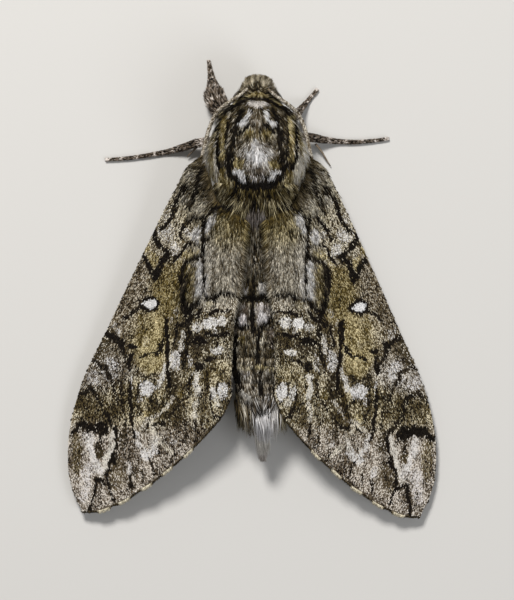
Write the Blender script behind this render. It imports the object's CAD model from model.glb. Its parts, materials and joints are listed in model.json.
import json
import math

import bmesh
import bpy
import numpy as np
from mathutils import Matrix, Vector

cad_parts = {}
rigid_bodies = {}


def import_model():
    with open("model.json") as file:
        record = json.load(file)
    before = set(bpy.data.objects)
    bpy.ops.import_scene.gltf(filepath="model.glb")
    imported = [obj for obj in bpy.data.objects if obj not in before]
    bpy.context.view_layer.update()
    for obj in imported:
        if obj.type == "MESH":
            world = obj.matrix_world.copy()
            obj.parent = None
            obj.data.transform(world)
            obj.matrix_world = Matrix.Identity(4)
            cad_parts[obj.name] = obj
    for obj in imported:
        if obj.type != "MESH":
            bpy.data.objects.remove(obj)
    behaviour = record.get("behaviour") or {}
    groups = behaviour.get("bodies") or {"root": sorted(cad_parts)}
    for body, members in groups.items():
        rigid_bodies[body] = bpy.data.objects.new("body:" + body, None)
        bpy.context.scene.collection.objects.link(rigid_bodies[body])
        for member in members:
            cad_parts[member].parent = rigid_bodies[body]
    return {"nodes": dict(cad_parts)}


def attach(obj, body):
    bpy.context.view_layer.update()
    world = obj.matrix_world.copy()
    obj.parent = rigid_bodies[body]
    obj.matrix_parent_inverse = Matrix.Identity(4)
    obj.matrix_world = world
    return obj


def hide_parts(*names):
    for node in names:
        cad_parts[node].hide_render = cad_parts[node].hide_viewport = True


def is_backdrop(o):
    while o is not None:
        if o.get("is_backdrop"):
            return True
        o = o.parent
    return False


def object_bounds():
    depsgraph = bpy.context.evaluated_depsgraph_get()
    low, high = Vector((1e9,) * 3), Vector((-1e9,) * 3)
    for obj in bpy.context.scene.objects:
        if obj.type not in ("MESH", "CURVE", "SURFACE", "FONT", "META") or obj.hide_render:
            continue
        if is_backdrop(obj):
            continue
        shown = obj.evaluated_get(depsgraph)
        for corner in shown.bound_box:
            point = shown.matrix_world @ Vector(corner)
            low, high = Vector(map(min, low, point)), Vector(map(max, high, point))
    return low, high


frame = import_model()
cadLow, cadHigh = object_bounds()
scene = bpy.context.scene
scene.view_settings.view_transform = "Standard"
mm = 0.001
middleY = 0.0686  # shapes below are in millimetres, and lose this much of y when they are placed
bothSides = {"left": 1, "right": -1}
luck = np.random.default_rng(41)
print("frame loaded:", len(frame["nodes"]), "solids")


def smoothStep(low, high, value):
    t = np.clip((value - low) / (high - low), 0.0, 1.0)
    return t * t * (3 - 2 * t)


def between(value, start, full, fading, end):  # rises from start to full, and falls from fading to end
    return smoothStep(start, full, value) * smoothStep(end, fading, value)


def lengths(rows):
    return np.linalg.norm(rows, axis=1)


def unitRows(rows):
    return rows / np.maximum(lengths(rows)[:, None], 1e-12)


def columns(*values):  # lists of numbers side by side, with a plain number repeated all the way down
    return np.stack(np.broadcast_arrays(*values), 1)


def vary(like, least, extra):  # a random number for each item of like
    return least + extra * luck.random(len(like))


def easedRows(knots, rows, at):  # a smooth curve through rows, read at any place between the knots
    slopes = np.gradient(rows, knots, axis=0)
    i = np.clip(np.searchsorted(knots, at, side="right") - 1, 0, len(knots) - 2)
    step = (knots[i + 1] - knots[i])[:, None]
    t = (at - knots[i])[:, None] / step
    start = (2 * t**3 - 3 * t**2 + 1) * rows[i] + (t**3 - 2 * t**2 + t) * step * slopes[i]
    return start + (3 * t**2 - 2 * t**3) * rows[i + 1] + (t**3 - t**2) * step * slopes[i + 1]


def curveThrough(points, share):
    points, share = np.array(points, float), np.atleast_1d(share)
    knots = np.concatenate([[0], np.cumsum(lengths(np.diff(points, axis=0)))])
    return easedRows(knots, points, np.clip(share, 0, 1) * knots[-1])


def softNoise(x, y, seed):  # smooth noise from 0 to 1 with bumps about 1 apart
    i, j = np.floor(x).astype(np.int64), np.floor(y).astype(np.int64)
    f, g = x - i, y - j
    f, g = f * f * (3 - 2 * f), g * g * (3 - 2 * g)

    def corner(a, b):
        mixed = (a * 374761393 + b * 668265263 + seed * 1442695041) & 0xFFFFFFFF
        mixed = ((mixed ^ (mixed >> 13)) * 1274126177) & 0xFFFFFFFF
        return ((mixed ^ (mixed >> 16)) & 0xFFFF) / 65535.0

    near = corner(i, j) * (1 - f) + corner(i + 1, j) * f
    far = corner(i, j + 1) * (1 - f) + corner(i + 1, j + 1) * f
    return near * (1 - g) + far * g


def waver(x, y, seed):  # the same noise, from -0.5 to 0.5
    return softNoise(x, y, seed) - 0.5


def newPiece(name, points, faces, material=None):
    mesh = bpy.data.meshes.new(name)
    placed = (np.asarray(points, float) - [0.0, middleY, 0.0]) * mm
    mesh.from_pydata(placed.tolist(), [], faces)
    if material:
        mesh.materials.append(material)
    mesh.shade_smooth()
    piece = bpy.data.objects.new(name, mesh)
    scene.collection.objects.link(piece)
    return piece


def setAttribute(mesh, name, values):
    values = np.asarray(values, np.float32)
    kind, field = ("FLOAT", "value") if values.ndim == 1 else ("FLOAT_VECTOR", "vector")
    layer = mesh.attributes.get(name) or mesh.attributes.new(name, kind, "POINT")
    layer.data.foreach_set(field, values.ravel())


def markSkin(mesh, marks):  # a skin takes the colours of a scale's outer end
    setAttribute(mesh, "marks", marks)
    setAttribute(mesh, "along", np.ones(len(marks)))


def readPoints(mesh):  # each point in millimetres, and which way its surface faces
    spots, outward = np.zeros((2, len(mesh.vertices) * 3), np.float32)
    mesh.vertices.foreach_get("co", spots)
    mesh.vertex_normals.foreach_get("vector", outward)
    spots, outward = (found.reshape(-1, 3).astype(float) for found in (spots, outward))
    return spots / mm + [0.0, middleY, 0.0], outward


def keepInside(mesh):  # no tip reaches past the solids' box, and none goes under the floor
    found = np.zeros(len(mesh.vertices) * 3, np.float32)
    mesh.vertices.foreach_get("co", found)
    low, high = np.array(cadLow) + 2e-6, np.array(cadHigh) - 2e-6
    mesh.vertices.foreach_set("co", np.clip(found.reshape(-1, 3), low, high).astype(np.float32).ravel())
    mesh.update()


def settle(piece):  # what the modifiers make becomes the piece's own mesh
    graph = bpy.context.evaluated_depsgraph_get()
    mesh = bpy.data.meshes.new_from_object(piece.evaluated_get(graph))
    mesh.name = piece.name
    piece.modifiers.clear()
    piece.data = mesh
    return mesh


def outwardFaces(piece):
    shell = bmesh.new()
    shell.from_mesh(piece.data)
    bmesh.ops.recalc_face_normals(shell, faces=shell.faces)
    shell.to_mesh(piece.data)
    shell.free()


# Markings are read from above. A ground area holds x, y, half width, half length,
# then tone (0 dark to 1 white), warmth, rosiness and how strongly its scales are speckled.
wingGround = [
    (3.4, -7.0, 2.6, 2.6, 0.55, 1.0, 0.0, 0.75),
    (3.6, -1.8, 2.6, 3.6, 0.68, 0.45, 0.12, 0.8),
    (5.5, -3.4, 0.8, 4.2, 0.8, 0.25, 0.05, 0.6),
    (8.4, -9.5, 4.0, 5.0, 0.52, 0.55, 0.05, 1.0),
    (10.0, 0.8, 1.9, 2.6, 0.4, 1.0, 0.0, 0.6),
    (12.4, 5.3, 2.1, 2.8, 0.54, 1.0, 0.0, 0.6),
    (12.0, 8.8, 1.1, 1.2, 0.58, 1.0, 0.0, 0.6),
    (15.0, 1.5, 2.6, 4.6, 0.37, 0.55, 0.25, 0.8),
    (18.0, 10.6, 2.5, 2.2, 0.48, 0.25, 0.15, 0.85),
    (5.4, 6.8, 2.8, 3.0, 0.21, 0.55, 0.0, 1.0),
    (4.1, 9.8, 1.2, 1.2, 0.44, 0.8, 0.0, 0.7),
    (14.0, 14.2, 6.0, 2.4, 0.33, 0.75, 0.0, 0.95),
    (6.5, 13.5, 3.2, 3.0, 0.34, 0.65, 0.05, 0.95),
    (7.4, 17.2, 2.2, 1.6, 0.5, 0.45, 0.4, 0.9),
    (13.5, 21.0, 7.5, 4.6, 0.5, 0.45, 0.45, 0.9),
    (18.8, 22.0, 2.0, 4.0, 0.53, 0.35, 0.45, 0.85),
]
# A spot: x, y, half width, half length, tone, warmth, rosiness, strength. A black one gives no tones.
wingMidSpots = [
    (7.6, -0.3, 0.6, 2.5, 0.5, 0.9, 0.0, 0.7),
    (7.6, -3.6, 1.0, 0.45, 0.6, 0.9, 0.0, 0.8),
    (8.8, -2.6, 0.5, 0.6, 0.58, 0.9, 0.0, 0.7),
    (12.0, -3.0, 0.6, 0.9, 0.56, 0.9, 0.0, 0.8),
    (12.7, -4.4, 0.5, 0.5, 0.58, 0.9, 0.0, 0.8),
    (8.2, -8.0, 0.5, 0.8, 0.66, 0.6, 0.0, 0.7),
    (6.4, 6.4, 1.6, 1.2, 0.2, 0.3, 0.0, 0.7),
    (9.0, 5.0, 0.9, 0.9, 0.25, 0.5, 0.0, 0.6),
    (13.3, 5.0, 0.4, 2.0, 0.36, 0.9, 0.0, 0.7),
    (12.5, 6.5, 0.5, 0.5, 0.64, 0.7, 0.0, 0.6),
    (12.2, 8.8, 0.9, 0.6, 0.68, 0.9, 0.0, 0.8),
    (9.3, 12.0, 0.9, 2.2, 0.14, 0.4, 0.0, 0.75),
    (8.5, 12.4, 0.4, 0.5, 0.5, 0.9, 0.0, 0.7),
    (12.1, 15.1, 0.8, 0.45, 0.58, 0.95, 0.0, 0.8),
    (9.6, 14.6, 2.6, 1.3, 0.26, 0.5, 0.0, 0.6),
    (5.4, 14.6, 0.9, 1.6, 0.3, 0.6, 0.0, 0.7),
    (6.2, 10.4, 1.6, 0.9, 0.26, 0.7, 0.0, 0.7),
    (17.6, 13.8, 2.8, 1.1, 0.28, 0.5, 0.0, 0.5),
    (15.2, 18.0, 0.6, 1.2, 0.16, 0.4, 0.0, 0.7),
    (15.6, 22.2, 1.2, 1.7, 0.42, 0.5, 0.3, 0.65),
    (20.6, 19.8, 0.6, 2.8, 0.32, 0.7, 0.2, 0.85),
    (17.9, 19.6, 0.45, 1.0, 0.22, 0.6, 0.1, 0.85),
    (16.2, 22.0, 1.0, 2.0, 0.36, 0.6, 0.2, 0.6),
]
wingPaleSpots = [
    (7.6, -12.8, 0.6, 0.6, 0.7, 0.3, 0.0, 0.6),
    (8.5, -10.0, 0.5, 0.7, 0.76, 0.3, 0.0, 0.7),
    (6.7, -11.8, 0.3, 0.5, 0.7, 0.3, 0.0, 0.6),
    (10.5, -8.0, 0.55, 1.0, 0.68, 0.2, 0.0, 0.65),
    (10.5, -6.2, 0.95, 1.1, 0.8, 0.1, 0.0, 0.7),
    (9.5, -4.3, 0.6, 0.9, 0.86, 0.1, 0.0, 0.75),
    (6.95, -5.85, 0.6, 0.85, 0.96, 0.05, 0.0, 0.95),
    (7.9, -6.2, 0.4, 0.6, 0.74, 0.1, 0.0, 0.7),
    (5.3, 2.1, 0.5, 0.35, 0.62, 0.6, 0.0, 0.7),
    (3.65, 4.05, 0.7, 0.6, 0.9, 0.1, 0.0, 0.85),
    (5.1, 4.25, 0.9, 0.7, 0.96, 0.05, 0.0, 0.93),
    (4.6, 5.2, 0.4, 0.35, 0.8, 0.1, 0.0, 0.7),
    (6.5, 4.7, 0.7, 0.5, 0.84, 0.1, 0.0, 0.75),
    (9.0, 3.0, 0.4, 0.5, 0.66, 0.3, 0.0, 0.6),
    (9.8, 4.0, 0.4, 0.5, 0.66, 0.3, 0.0, 0.6),
    (4.35, 7.4, 0.8, 0.4, 0.92, 0.1, 0.0, 0.88),
    (9.1, 8.6, 0.6, 1.1, 0.88, 0.05, 0.0, 0.8),
    (16.4, 5.4, 0.8, 0.8, 0.74, 0.1, 0.0, 0.6),
    (16.8, 9.8, 0.9, 1.4, 0.8, 0.0, 0.05, 0.62),
    (18.9, 10.9, 0.9, 1.0, 0.68, 0.0, 0.1, 0.6),
    (3.4, 12.1, 0.6, 1.0, 1.0, 0.05, 0.0, 0.92),
    (4.6, 12.4, 0.5, 0.85, 0.97, 0.1, 0.0, 0.9),
    (4.1, 13.4, 0.4, 0.6, 0.84, 0.3, 0.0, 0.8),
    (12.3, 12.0, 0.95, 0.95, 1.0, 0.0, 0.05, 0.92),
    (13.3, 13.2, 0.4, 0.6, 0.8, 0.1, 0.1, 0.7),
    (6.7, 15.1, 0.35, 0.5, 0.84, 0.3, 0.1, 0.75),
    (9.2, 18.1, 0.4, 0.4, 0.84, 0.1, 0.2, 0.75),
    (14.3, 21.5, 0.4, 0.7, 0.86, 0.1, 0.2, 0.8),
    (19.2, 22.0, 0.7, 0.9, 0.88, 0.0, 0.3, 0.6),
]
# A stroke: width, tone, warmth, rosiness, strength, then the line it follows. Black ones give no tones.
wingPaleStrokes = [
    (0.36, 0.9, 0.4, 0.0, 0.8, [(4.7, -14.3), (4.5, -12.2)]),
    (0.8, 0.86, 0.4, 0.0, 0.75, [(5.0, -10.6), (5.3, -9.9), (6.3, -9.3), (6.8, -8.7)]),
    (0.75, 0.96, 0.05, 0.0, 0.9, [(4.8, -8.3), (5.3, -7.4), (5.75, -6.4)]),
    (0.7, 0.97, 0.05, 0.0, 0.9, [(6.45, -2.9), (6.4, -1.0), (6.35, 0.9)]),
    (0.45, 0.8, 0.1, 0.1, 0.6, [(5.6, -1.0), (5.6, 1.2)]),
    (0.45, 0.88, 0.2, 0.0, 0.8, [(8.15, 5.5), (8.45, 7.4)]),
    (0.5, 0.8, 0.1, 0.0, 0.6, [(7.5, 8.2), (7.4, 9.3)]),
    (0.5, 0.94, 0.2, 0.0, 0.9, [(6.65, 10.3), (6.6, 11.4), (6.4, 12.6)]),
    (0.4, 0.84, 0.3, 0.0, 0.75, [(6.5, 12.5), (6.6, 13.8), (6.7, 15.3)]),
    (0.5, 0.88, 0.1, 0.0, 0.8, [(10.35, 9.5), (10.6, 10.8), (11.1, 11.7)]),
    (0.35, 0.76, 0.3, 0.1, 0.65, [(9.4, 13.0), (10.1, 14.2), (10.9, 15.2), (12.2, 15.7), (13.0, 16.7)]),
    (0.5, 0.84, 0.4, 0.1, 0.75, [(11.9, 15.9), (11.4, 17.0), (10.9, 18.0), (10.2, 18.8), (9.3, 19.4)]),
    (0.55, 0.86, 0.2, 0.1, 0.75, [(11.2, 17.8), (11.4, 18.8), (12.1, 19.8)]),
    (0.5, 0.88, 0.1, 0.1, 0.75, [(13.6, 17.2), (13.3, 18.6), (12.4, 19.9)]),
    (0.7, 0.92, 0.05, 0.1, 0.8, [(11.5, 19.2), (12.2, 20.0), (12.8, 19.8)]),
    (0.24, 0.8, 0.0, 0.0, 0.6, [(14.35, 10.8), (14.3, 12.8)]),
    (0.58, 0.92, 0.25, 0.1, 0.88, [(16.3, 17.2), (16.5, 18.8), (16.9, 20.4), (17.4, 21.8), (17.6, 22.6)]),
    (0.66, 0.92, 0.1, 0.2, 0.85, [(19.2, 17.6), (18.9, 19.0), (18.4, 20.6), (17.9, 21.8)]),
    (0.9, 0.86, 0.05, 0.4, 0.6, [(19.1, 21.5), (19.4, 22.5), (19.6, 25.0)]),
]
wingDarkStrokes = [
    (0.36, 0.95, [(2.6, -9.1), (3.9, -9.2), (5.2, -8.7), (5.95, -7.8), (6.1, -6.4), (6.15, -4.4),
                  (6.0, -3.3)]),
    (0.24, 0.97, [(6.0, -3.4), (5.9, -1.0), (5.95, 1.0)]),
    (0.28, 0.9, [(5.2, -6.0), (5.6, -5.6), (6.0, -5.0)]),
    (0.34, 0.92, [(6.3, -4.5), (7.0, -4.8), (7.8, -4.9), (8.3, -4.4), (8.8, -3.6), (9.5, -2.9)]),
    (0.42, 0.92, [(6.3, -3.4), (7.0, -3.2), (7.8, -2.8), (8.3, -2.2), (8.4, -1.6)]),
    (0.66, 0.98, [(8.3, -2.0), (8.4, -0.6), (8.3, 1.0), (8.05, 2.4), (7.75, 3.2)]),
    (0.46, 0.0, 0.1, 0.0, 0.9, [(6.4, -13.6), (6.9, -12.1), (7.1, -10.9), (7.6, -9.8), (7.9, -9.0)]),
    (0.42, 0.0, 0.1, 0.0, 0.9, [(8.6, -11.2), (9.2, -9.9), (9.6, -8.6), (10.1, -7.6), (11.0, -6.6)]),
    (0.42, 0.92, [(6.1, -7.9), (7.3, -7.9), (8.0, -7.2), (8.6, -6.4), (8.8, -5.6)]),
    (0.5, 0.94, [(11.9, -6.4), (11.7, -5.4), (11.1, -4.5), (10.5, -3.9)]),
    (0.66, 0.97, [(10.2, -3.8), (10.8, -3.0), (11.2, -1.9), (11.5, -1.0)]),
    (0.46, 0.92, [(12.9, -3.3), (12.4, -2.4), (11.9, -1.4)]),
    (0.34, 0.02, 0.0, 0.0, 0.88, [(13.3, 2.6), (14.2, 3.0), (15.1, 3.9)]),
    (0.36, 0.92, [(2.5, 0.95), (4.1, 1.05), (4.8, 1.7), (5.3, 1.6), (6.1, 1.6), (6.7, 2.2), (7.4, 2.7),
                  (8.0, 2.9)]),
    (0.38, 0.92, [(2.9, 2.8), (4.4, 2.8), (5.0, 3.3)]),
    (0.38, 0.92, [(6.2, 2.7), (6.8, 3.3), (7.8, 4.0), (8.4, 4.6)]),
    (0.38, 0.9, [(3.0, 5.4), (4.5, 5.7), (5.4, 5.4)]),
    (0.3, 0.03, 0.2, 0.0, 0.82, [(7.5, 4.0), (7.6, 6.5), (7.9, 8.0), (8.2, 9.4)]),
    (0.3, 0.02, 0.0, 0.0, 0.88, [(8.9, 4.5), (9.4, 6.8)]),
    (0.44, 0.97, [(10.2, 4.0), (10.2, 5.5), (10.05, 7.0), (9.9, 9.5), (9.75, 11.8)]),
    (0.34, 0.9, [(10.5, 6.0), (10.8, 7.6)]),
    (0.32, 0.02, 0.0, 0.0, 0.9, [(10.9, 7.0), (11.2, 7.9), (12.2, 7.9), (13.1, 8.4)]),
    (0.44, 0.92, [(15.4, 6.7), (16.2, 6.2), (17.0, 5.8), (17.8, 5.0)]),
    (1.1, 0.18, 0.5, 0.0, 0.65, [(17.4, 5.4), (18.2, 8.3)]),
    (0.38, 0.9, [(4.4, 8.3), (5.4, 8.5)]),
    (0.3, 0.03, 0.2, 0.0, 0.8, [(7.3, 10.5), (7.4, 11.6), (7.5, 12.8)]),
    (0.26, 0.05, 0.2, 0.0, 0.72, [(7.6, 12.8), (8.6, 13.8), (9.3, 14.8), (9.8, 15.6)]),
    (0.2, 0.04, 0.0, 0.0, 0.88, [(4.05, 11.2), (4.1, 12.3)]),
    (0.3, 0.03, 0.0, 0.0, 0.88, [(5.0, 12.3), (4.9, 13.8), (4.4, 14.8), (3.9, 15.2)]),
    (0.36, 0.92, [(14.35, 8.0), (14.35, 9.8)]),
    (0.34, 0.92, [(14.5, 11.5), (14.4, 13.0), (14.3, 14.5), (14.15, 16.2), (13.85, 17.8)]),
    (0.3, 0.1, 0.4, 0.0, 0.8, [(11.3, 10.3), (12.4, 10.6), (13.2, 10.4)]),
    (0.8, 0.94, [(18.6, 16.9), (20.2, 16.6), (21.0, 17.3)]),
    (0.4, 0.03, 0.1, 0.0, 0.85, [(17.8, 5.4), (15.8, 6.7), (15.1, 8.1), (14.5, 9.4)]),
    (0.34, 0.05, 0.2, 0.0, 0.78, [(20.1, 9.4), (18.7, 8.9), (17.3, 9.8), (16.3, 11.8), (15.7, 13.8)]),
    (0.4, 0.03, 0.1, 0.0, 0.8, [(20.8, 13.6), (19.4, 12.0), (18.1, 13.1), (17.3, 15.1), (16.2, 16.8)]),
    (0.28, 0.06, 0.3, 0.0, 0.7, [(15.65, 11.3), (15.2, 14.0), (14.9, 16.4)]),
    (0.26, 0.05, 0.3, 0.0, 0.72, [(11.9, 13.2), (11.0, 13.9), (10.2, 13.4)]),
    (0.24, 0.05, 0.2, 0.0, 0.72, [(13.3, 9.6), (13.6, 11.4), (13.5, 13.6), (13.0, 15.2)]),
    (0.24, 0.06, 0.3, 0.0, 0.7, [(8.0, 15.4), (7.6, 17.0), (7.9, 18.3)]),
    (0.22, 0.05, 0.3, 0.0, 0.72, [(12.9, 21.6), (12.7, 23.2)]),
    (0.28, 0.94, [(15.9, 16.4), (15.85, 17.6), (16.0, 19.2)]),
    (0.28, 0.94, [(16.3, 20.4), (16.8, 21.3), (16.95, 22.4), (16.8, 23.4), (16.4, 24.3), (16.1, 25.1)]),
    (0.28, 0.94, [(17.0, 23.3), (17.6, 23.0), (18.35, 22.9), (18.35, 24.2), (18.6, 25.3), (18.75, 26.4)]),
    (0.46, 0.06, 0.3, 0.0, 0.8, [(17.9, 17.6), (18.0, 19.3)]),
    (0.22, 0.02, 0.0, 0.0, 0.9, [(11.9, 20.2), (11.6, 21.2), (11.3, 22.1)]),
    (0.24, 0.02, 0.0, 0.0, 0.9, [(14.2, 22.4), (14.0, 23.8)]),
    (0.2, 0.02, 0.0, 0.0, 0.9, [(9.05, 18.6), (8.9, 19.9)]),
    (0.28, 0.03, 0.0, 0.0, 0.88, [(6.7, 15.8), (6.6, 16.7)]),
    (0.44, 0.02, 0.0, 0.0, 0.9, [(10.3, 16.0), (11.4, 16.3)]),
    (0.22, 0.03, 0.0, 0.0, 0.88, [(12.1, 16.1), (12.7, 17.0)]),
]
wingDarkSpots = [
    (8.4, -11.2, 0.5, 0.6, 0.92),
    (11.6, -1.2, 0.4, 0.7, 0.96),
    (6.3, 6.3, 1.1, 0.5, 0.9),
    (14.2, 7.2, 0.6, 0.33, 0.96),
    (6.3, 9.2, 0.6, 0.55, 0.92),
    (17.8, 16.9, 0.9, 0.8, 0.96),
    (16.2, 20.2, 0.35, 0.75, 0.98),
]
wingEyeSpot = [(12.2, 2.1, 1.24, 0.88, 1.0), (12.25, 2.1, 0.8, 0.47, 1.0, 0.0, 0.0, 1.0)]

bodyGround = [
    (0.0, -23.6, 2.2, 1.7, 0.34, 0.55, 0.05, 0.8),
    (1.6, -20.8, 1.4, 1.3, 0.24, 0.5, 0.0, 0.6),
    (3.3, -17.0, 0.8, 3.6, 0.32, 0.4, 0.05, 0.8),
    (0.1, -19.0, 1.0, 1.4, 0.42, 0.3, 0.15, 0.75),
    (0.0, -17.4, 1.6, 0.7, 0.42, 0.6, 0.0, 0.7),
    (0.1, -15.0, 1.4, 1.2, 0.76, 0.1, 0.1, 0.85),
    (5.7, -16.5, 1.2, 5.0, 0.94, 0.3, 0.05, 0.8),
    (0.0, -10.4, 3.2, 1.2, 0.15, 1.0, 0.05, 0.75),
    (3.9, -11.2, 1.5, 1.3, 0.48, 0.85, 0.0, 0.8),
    (0.0, -6.3, 1.1, 1.3, 0.46, 0.5, 0.15, 0.9),
    (0.0, -3.4, 1.2, 1.8, 0.6, 0.45, 0.25, 0.9),
    (2.2, -4.0, 1.0, 3.0, 0.42, 0.6, 0.1, 0.75),
    (0.0, 0.3, 2.2, 1.3, 0.28, 0.55, 0.1, 0.6),
    (0.0, 7.8, 2.0, 1.6, 0.38, 0.55, 0.15, 0.75),
    (0.0, 11.3, 1.8, 1.5, 0.44, 0.4, 0.2, 0.75),
    (0.1, 14.0, 1.4, 0.7, 0.3, 0.0, 0.25, 0.9),
    (0.0, 16.9, 1.3, 1.7, 1.0, 0.0, 0.05, 0.4),
    (0.0, 19.3, 1.0, 0.7, 0.7, 0.2, 0.6, 0.5),
    (2.2, 15.6, 0.7, 1.6, 0.6, 0.6, 0.05, 0.7),
]
bodySpots = [
    (0.2, -20.95, 1.15, 0.4, 0.86, 0.15, 0.25, 0.95),
    (2.15, -14.05, 0.75, 0.58, 0.58, 1.0, 0.0, 0.97),
    (2.5, -14.8, 0.4, 0.3, 0.22, 1.0, 0.0, 0.8),
    (1.15, -17.6, 0.6, 0.5, 0.48, 1.0, 0.0, 0.9),
    (0.0, -16.2, 0.6, 0.7, 0.84, 0.0, 0.1, 0.75),
    (0.0, -14.85, 1.3, 0.75, 1.0, 0.0, 0.0, 0.95),
    (0.1, -13.2, 1.1, 0.5, 0.42, 0.2, 0.3, 0.9),
    (0.2, -12.35, 0.9, 0.4, 0.78, 0.0, 0.2, 0.8),
    (2.2, -12.95, 0.72, 0.52, 1.0, 0.0, 0.0, 0.97),
    (1.6, -12.35, 0.6, 0.4, 1.0, 0.0, 0.0, 0.95),
    (1.2, -11.0, 1.0, 0.32, 0.38, 1.0, 0.0, 0.85),
    (5.9, -16.0, 0.7, 1.8, 1.0, 0.15, 0.05, 0.9),
    (5.3, -18.0, 0.6, 1.5, 0.98, 0.1, 0.1, 0.85),
]
bodyStrokes = [
    (0.55, 0.92, 0.15, 0.1, 0.92, [(3.4, -21.1), (4.1, -20.65), (4.9, -20.2), (5.4, -19.4), (5.8, -18.0)]),
    (0.24, 0.08, 0.4, 0.0, 0.75, [(0.0, -23.6), (0.8, -23.2), (1.4, -22.6)]),
    (0.24, 0.05, 0.4, 0.0, 0.85, [(0.0, -22.9), (0.9, -22.5), (1.8, -21.9), (2.6, -21.3)]),
    (0.34, 0.6, 1.0, 0.0, 0.92, [(0.2, -22.25), (1.2, -21.95), (2.2, -21.4), (3.2, -20.75)]),
    (0.28, 0.92, [(0.0, -21.75), (1.0, -21.6), (2.0, -21.1)]),
    (0.4, 0.98, [(2.0, -21.1), (3.0, -20.6), (3.7, -20.1), (4.2, -19.2), (4.45, -17.9), (4.55, -16.2),
                 (4.45, -14.8), (4.2, -13.8), (3.7, -13.0)]),
    (0.46, 0.55, 1.0, 0.0, 0.9, [(3.85, -19.4), (3.95, -17.8), (4.0, -16.2), (3.95, -14.6)]),
    (0.2, 0.03, 0.4, 0.0, 0.9, [(3.4, -19.3), (3.55, -17.6), (3.6, -15.6), (3.55, -14.0)]),
    (0.2, 0.46, 0.9, 0.0, 0.6, [(4.85, -17.5), (4.95, -15.8), (5.1, -14.2)]),
    (0.6, 0.02, 0.2, 0.0, 0.94, [(1.9, -20.1), (2.4, -18.9), (2.6, -17.6), (2.75, -16.4), (3.0, -15.2),
                                 (3.15, -14.0)]),
    (0.46, 1.0, 0.0, 0.0, 0.95, [(0.95, -19.9), (1.35, -19.2), (1.85, -18.5)]),
    (0.36, 0.96, [(0.95, -18.6), (1.4, -18.1), (2.0, -17.4)]),
    (0.64, 0.98, [(0.0, -11.6), (1.2, -11.6), (2.2, -11.95), (2.9, -12.7), (3.15, -13.6)]),
    (0.26, 0.92, [(1.05, -12.6), (1.1, -12.0)]),
    (0.42, 0.92, 0.3, 0.0, 0.8, [(4.7, -14.2), (4.65, -13.1), (4.45, -12.2)]),
    (0.5, 0.42, 1.0, 0.0, 0.85, [(3.9, -13.2), (3.6, -12.0), (3.0, -11.1)]),
]
bodyOnce = [  # these keep the sign of x
    (-0.95, -7.3, 0.4, 0.5, 0.7, 0.0, 0.5, 0.9),
    (0.25, -7.2, 1.0, 0.5, 0.56, 0.0, 0.7, 0.9),
    (-0.95, 0.22, 0.6, 0.65, 1.0, 0.1, 0.1, 0.95),
    (1.15, 0.35, 0.42, 0.42, 0.72, 0.1, 0.4, 0.9),
    (1.6, 0.62, 0.38, 0.28, 0.36, 0.9, 0.3, 0.8),
    (-0.95, 3.1, 0.95, 1.28, 0.66, 0.1, 0.5, 0.95),
    (1.3, 3.2, 0.72, 1.2, 0.44, 0.3, 0.5, 0.95),
    (1.38, 3.85, 0.5, 0.7, 0.94, 0.0, 0.5, 0.95),
    (-1.0, 3.7, 0.6, 0.7, 0.92, 0.0, 0.4, 0.9),
    (-0.35, 5.1, 0.7, 0.5, 0.05, 0.2, 0.0, 0.9),
    (2.2, 5.4, 0.5, 0.8, 0.36, 0.6, 0.5, 0.8),
    (1.4, 6.3, 0.4, 0.5, 0.45, 1.0, 0.0, 0.7),
    (-1.4, 6.9, 0.4, 0.35, 0.1, 0.8, 0.2, 0.85),
    (-2.0, 7.5, 0.45, 0.5, 0.4, 0.9, 0.2, 0.8),
    (0.9, 10.2, 0.5, 0.4, 0.68, 0.1, 0.2, 0.7),
    (-1.8, 12.9, 0.5, 0.4, 0.8, 0.1, 0.1, 0.8),
    (0.65, 15.6, 0.22, 0.9, 0.1, 0.3, 0.0, 0.8),
]
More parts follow.
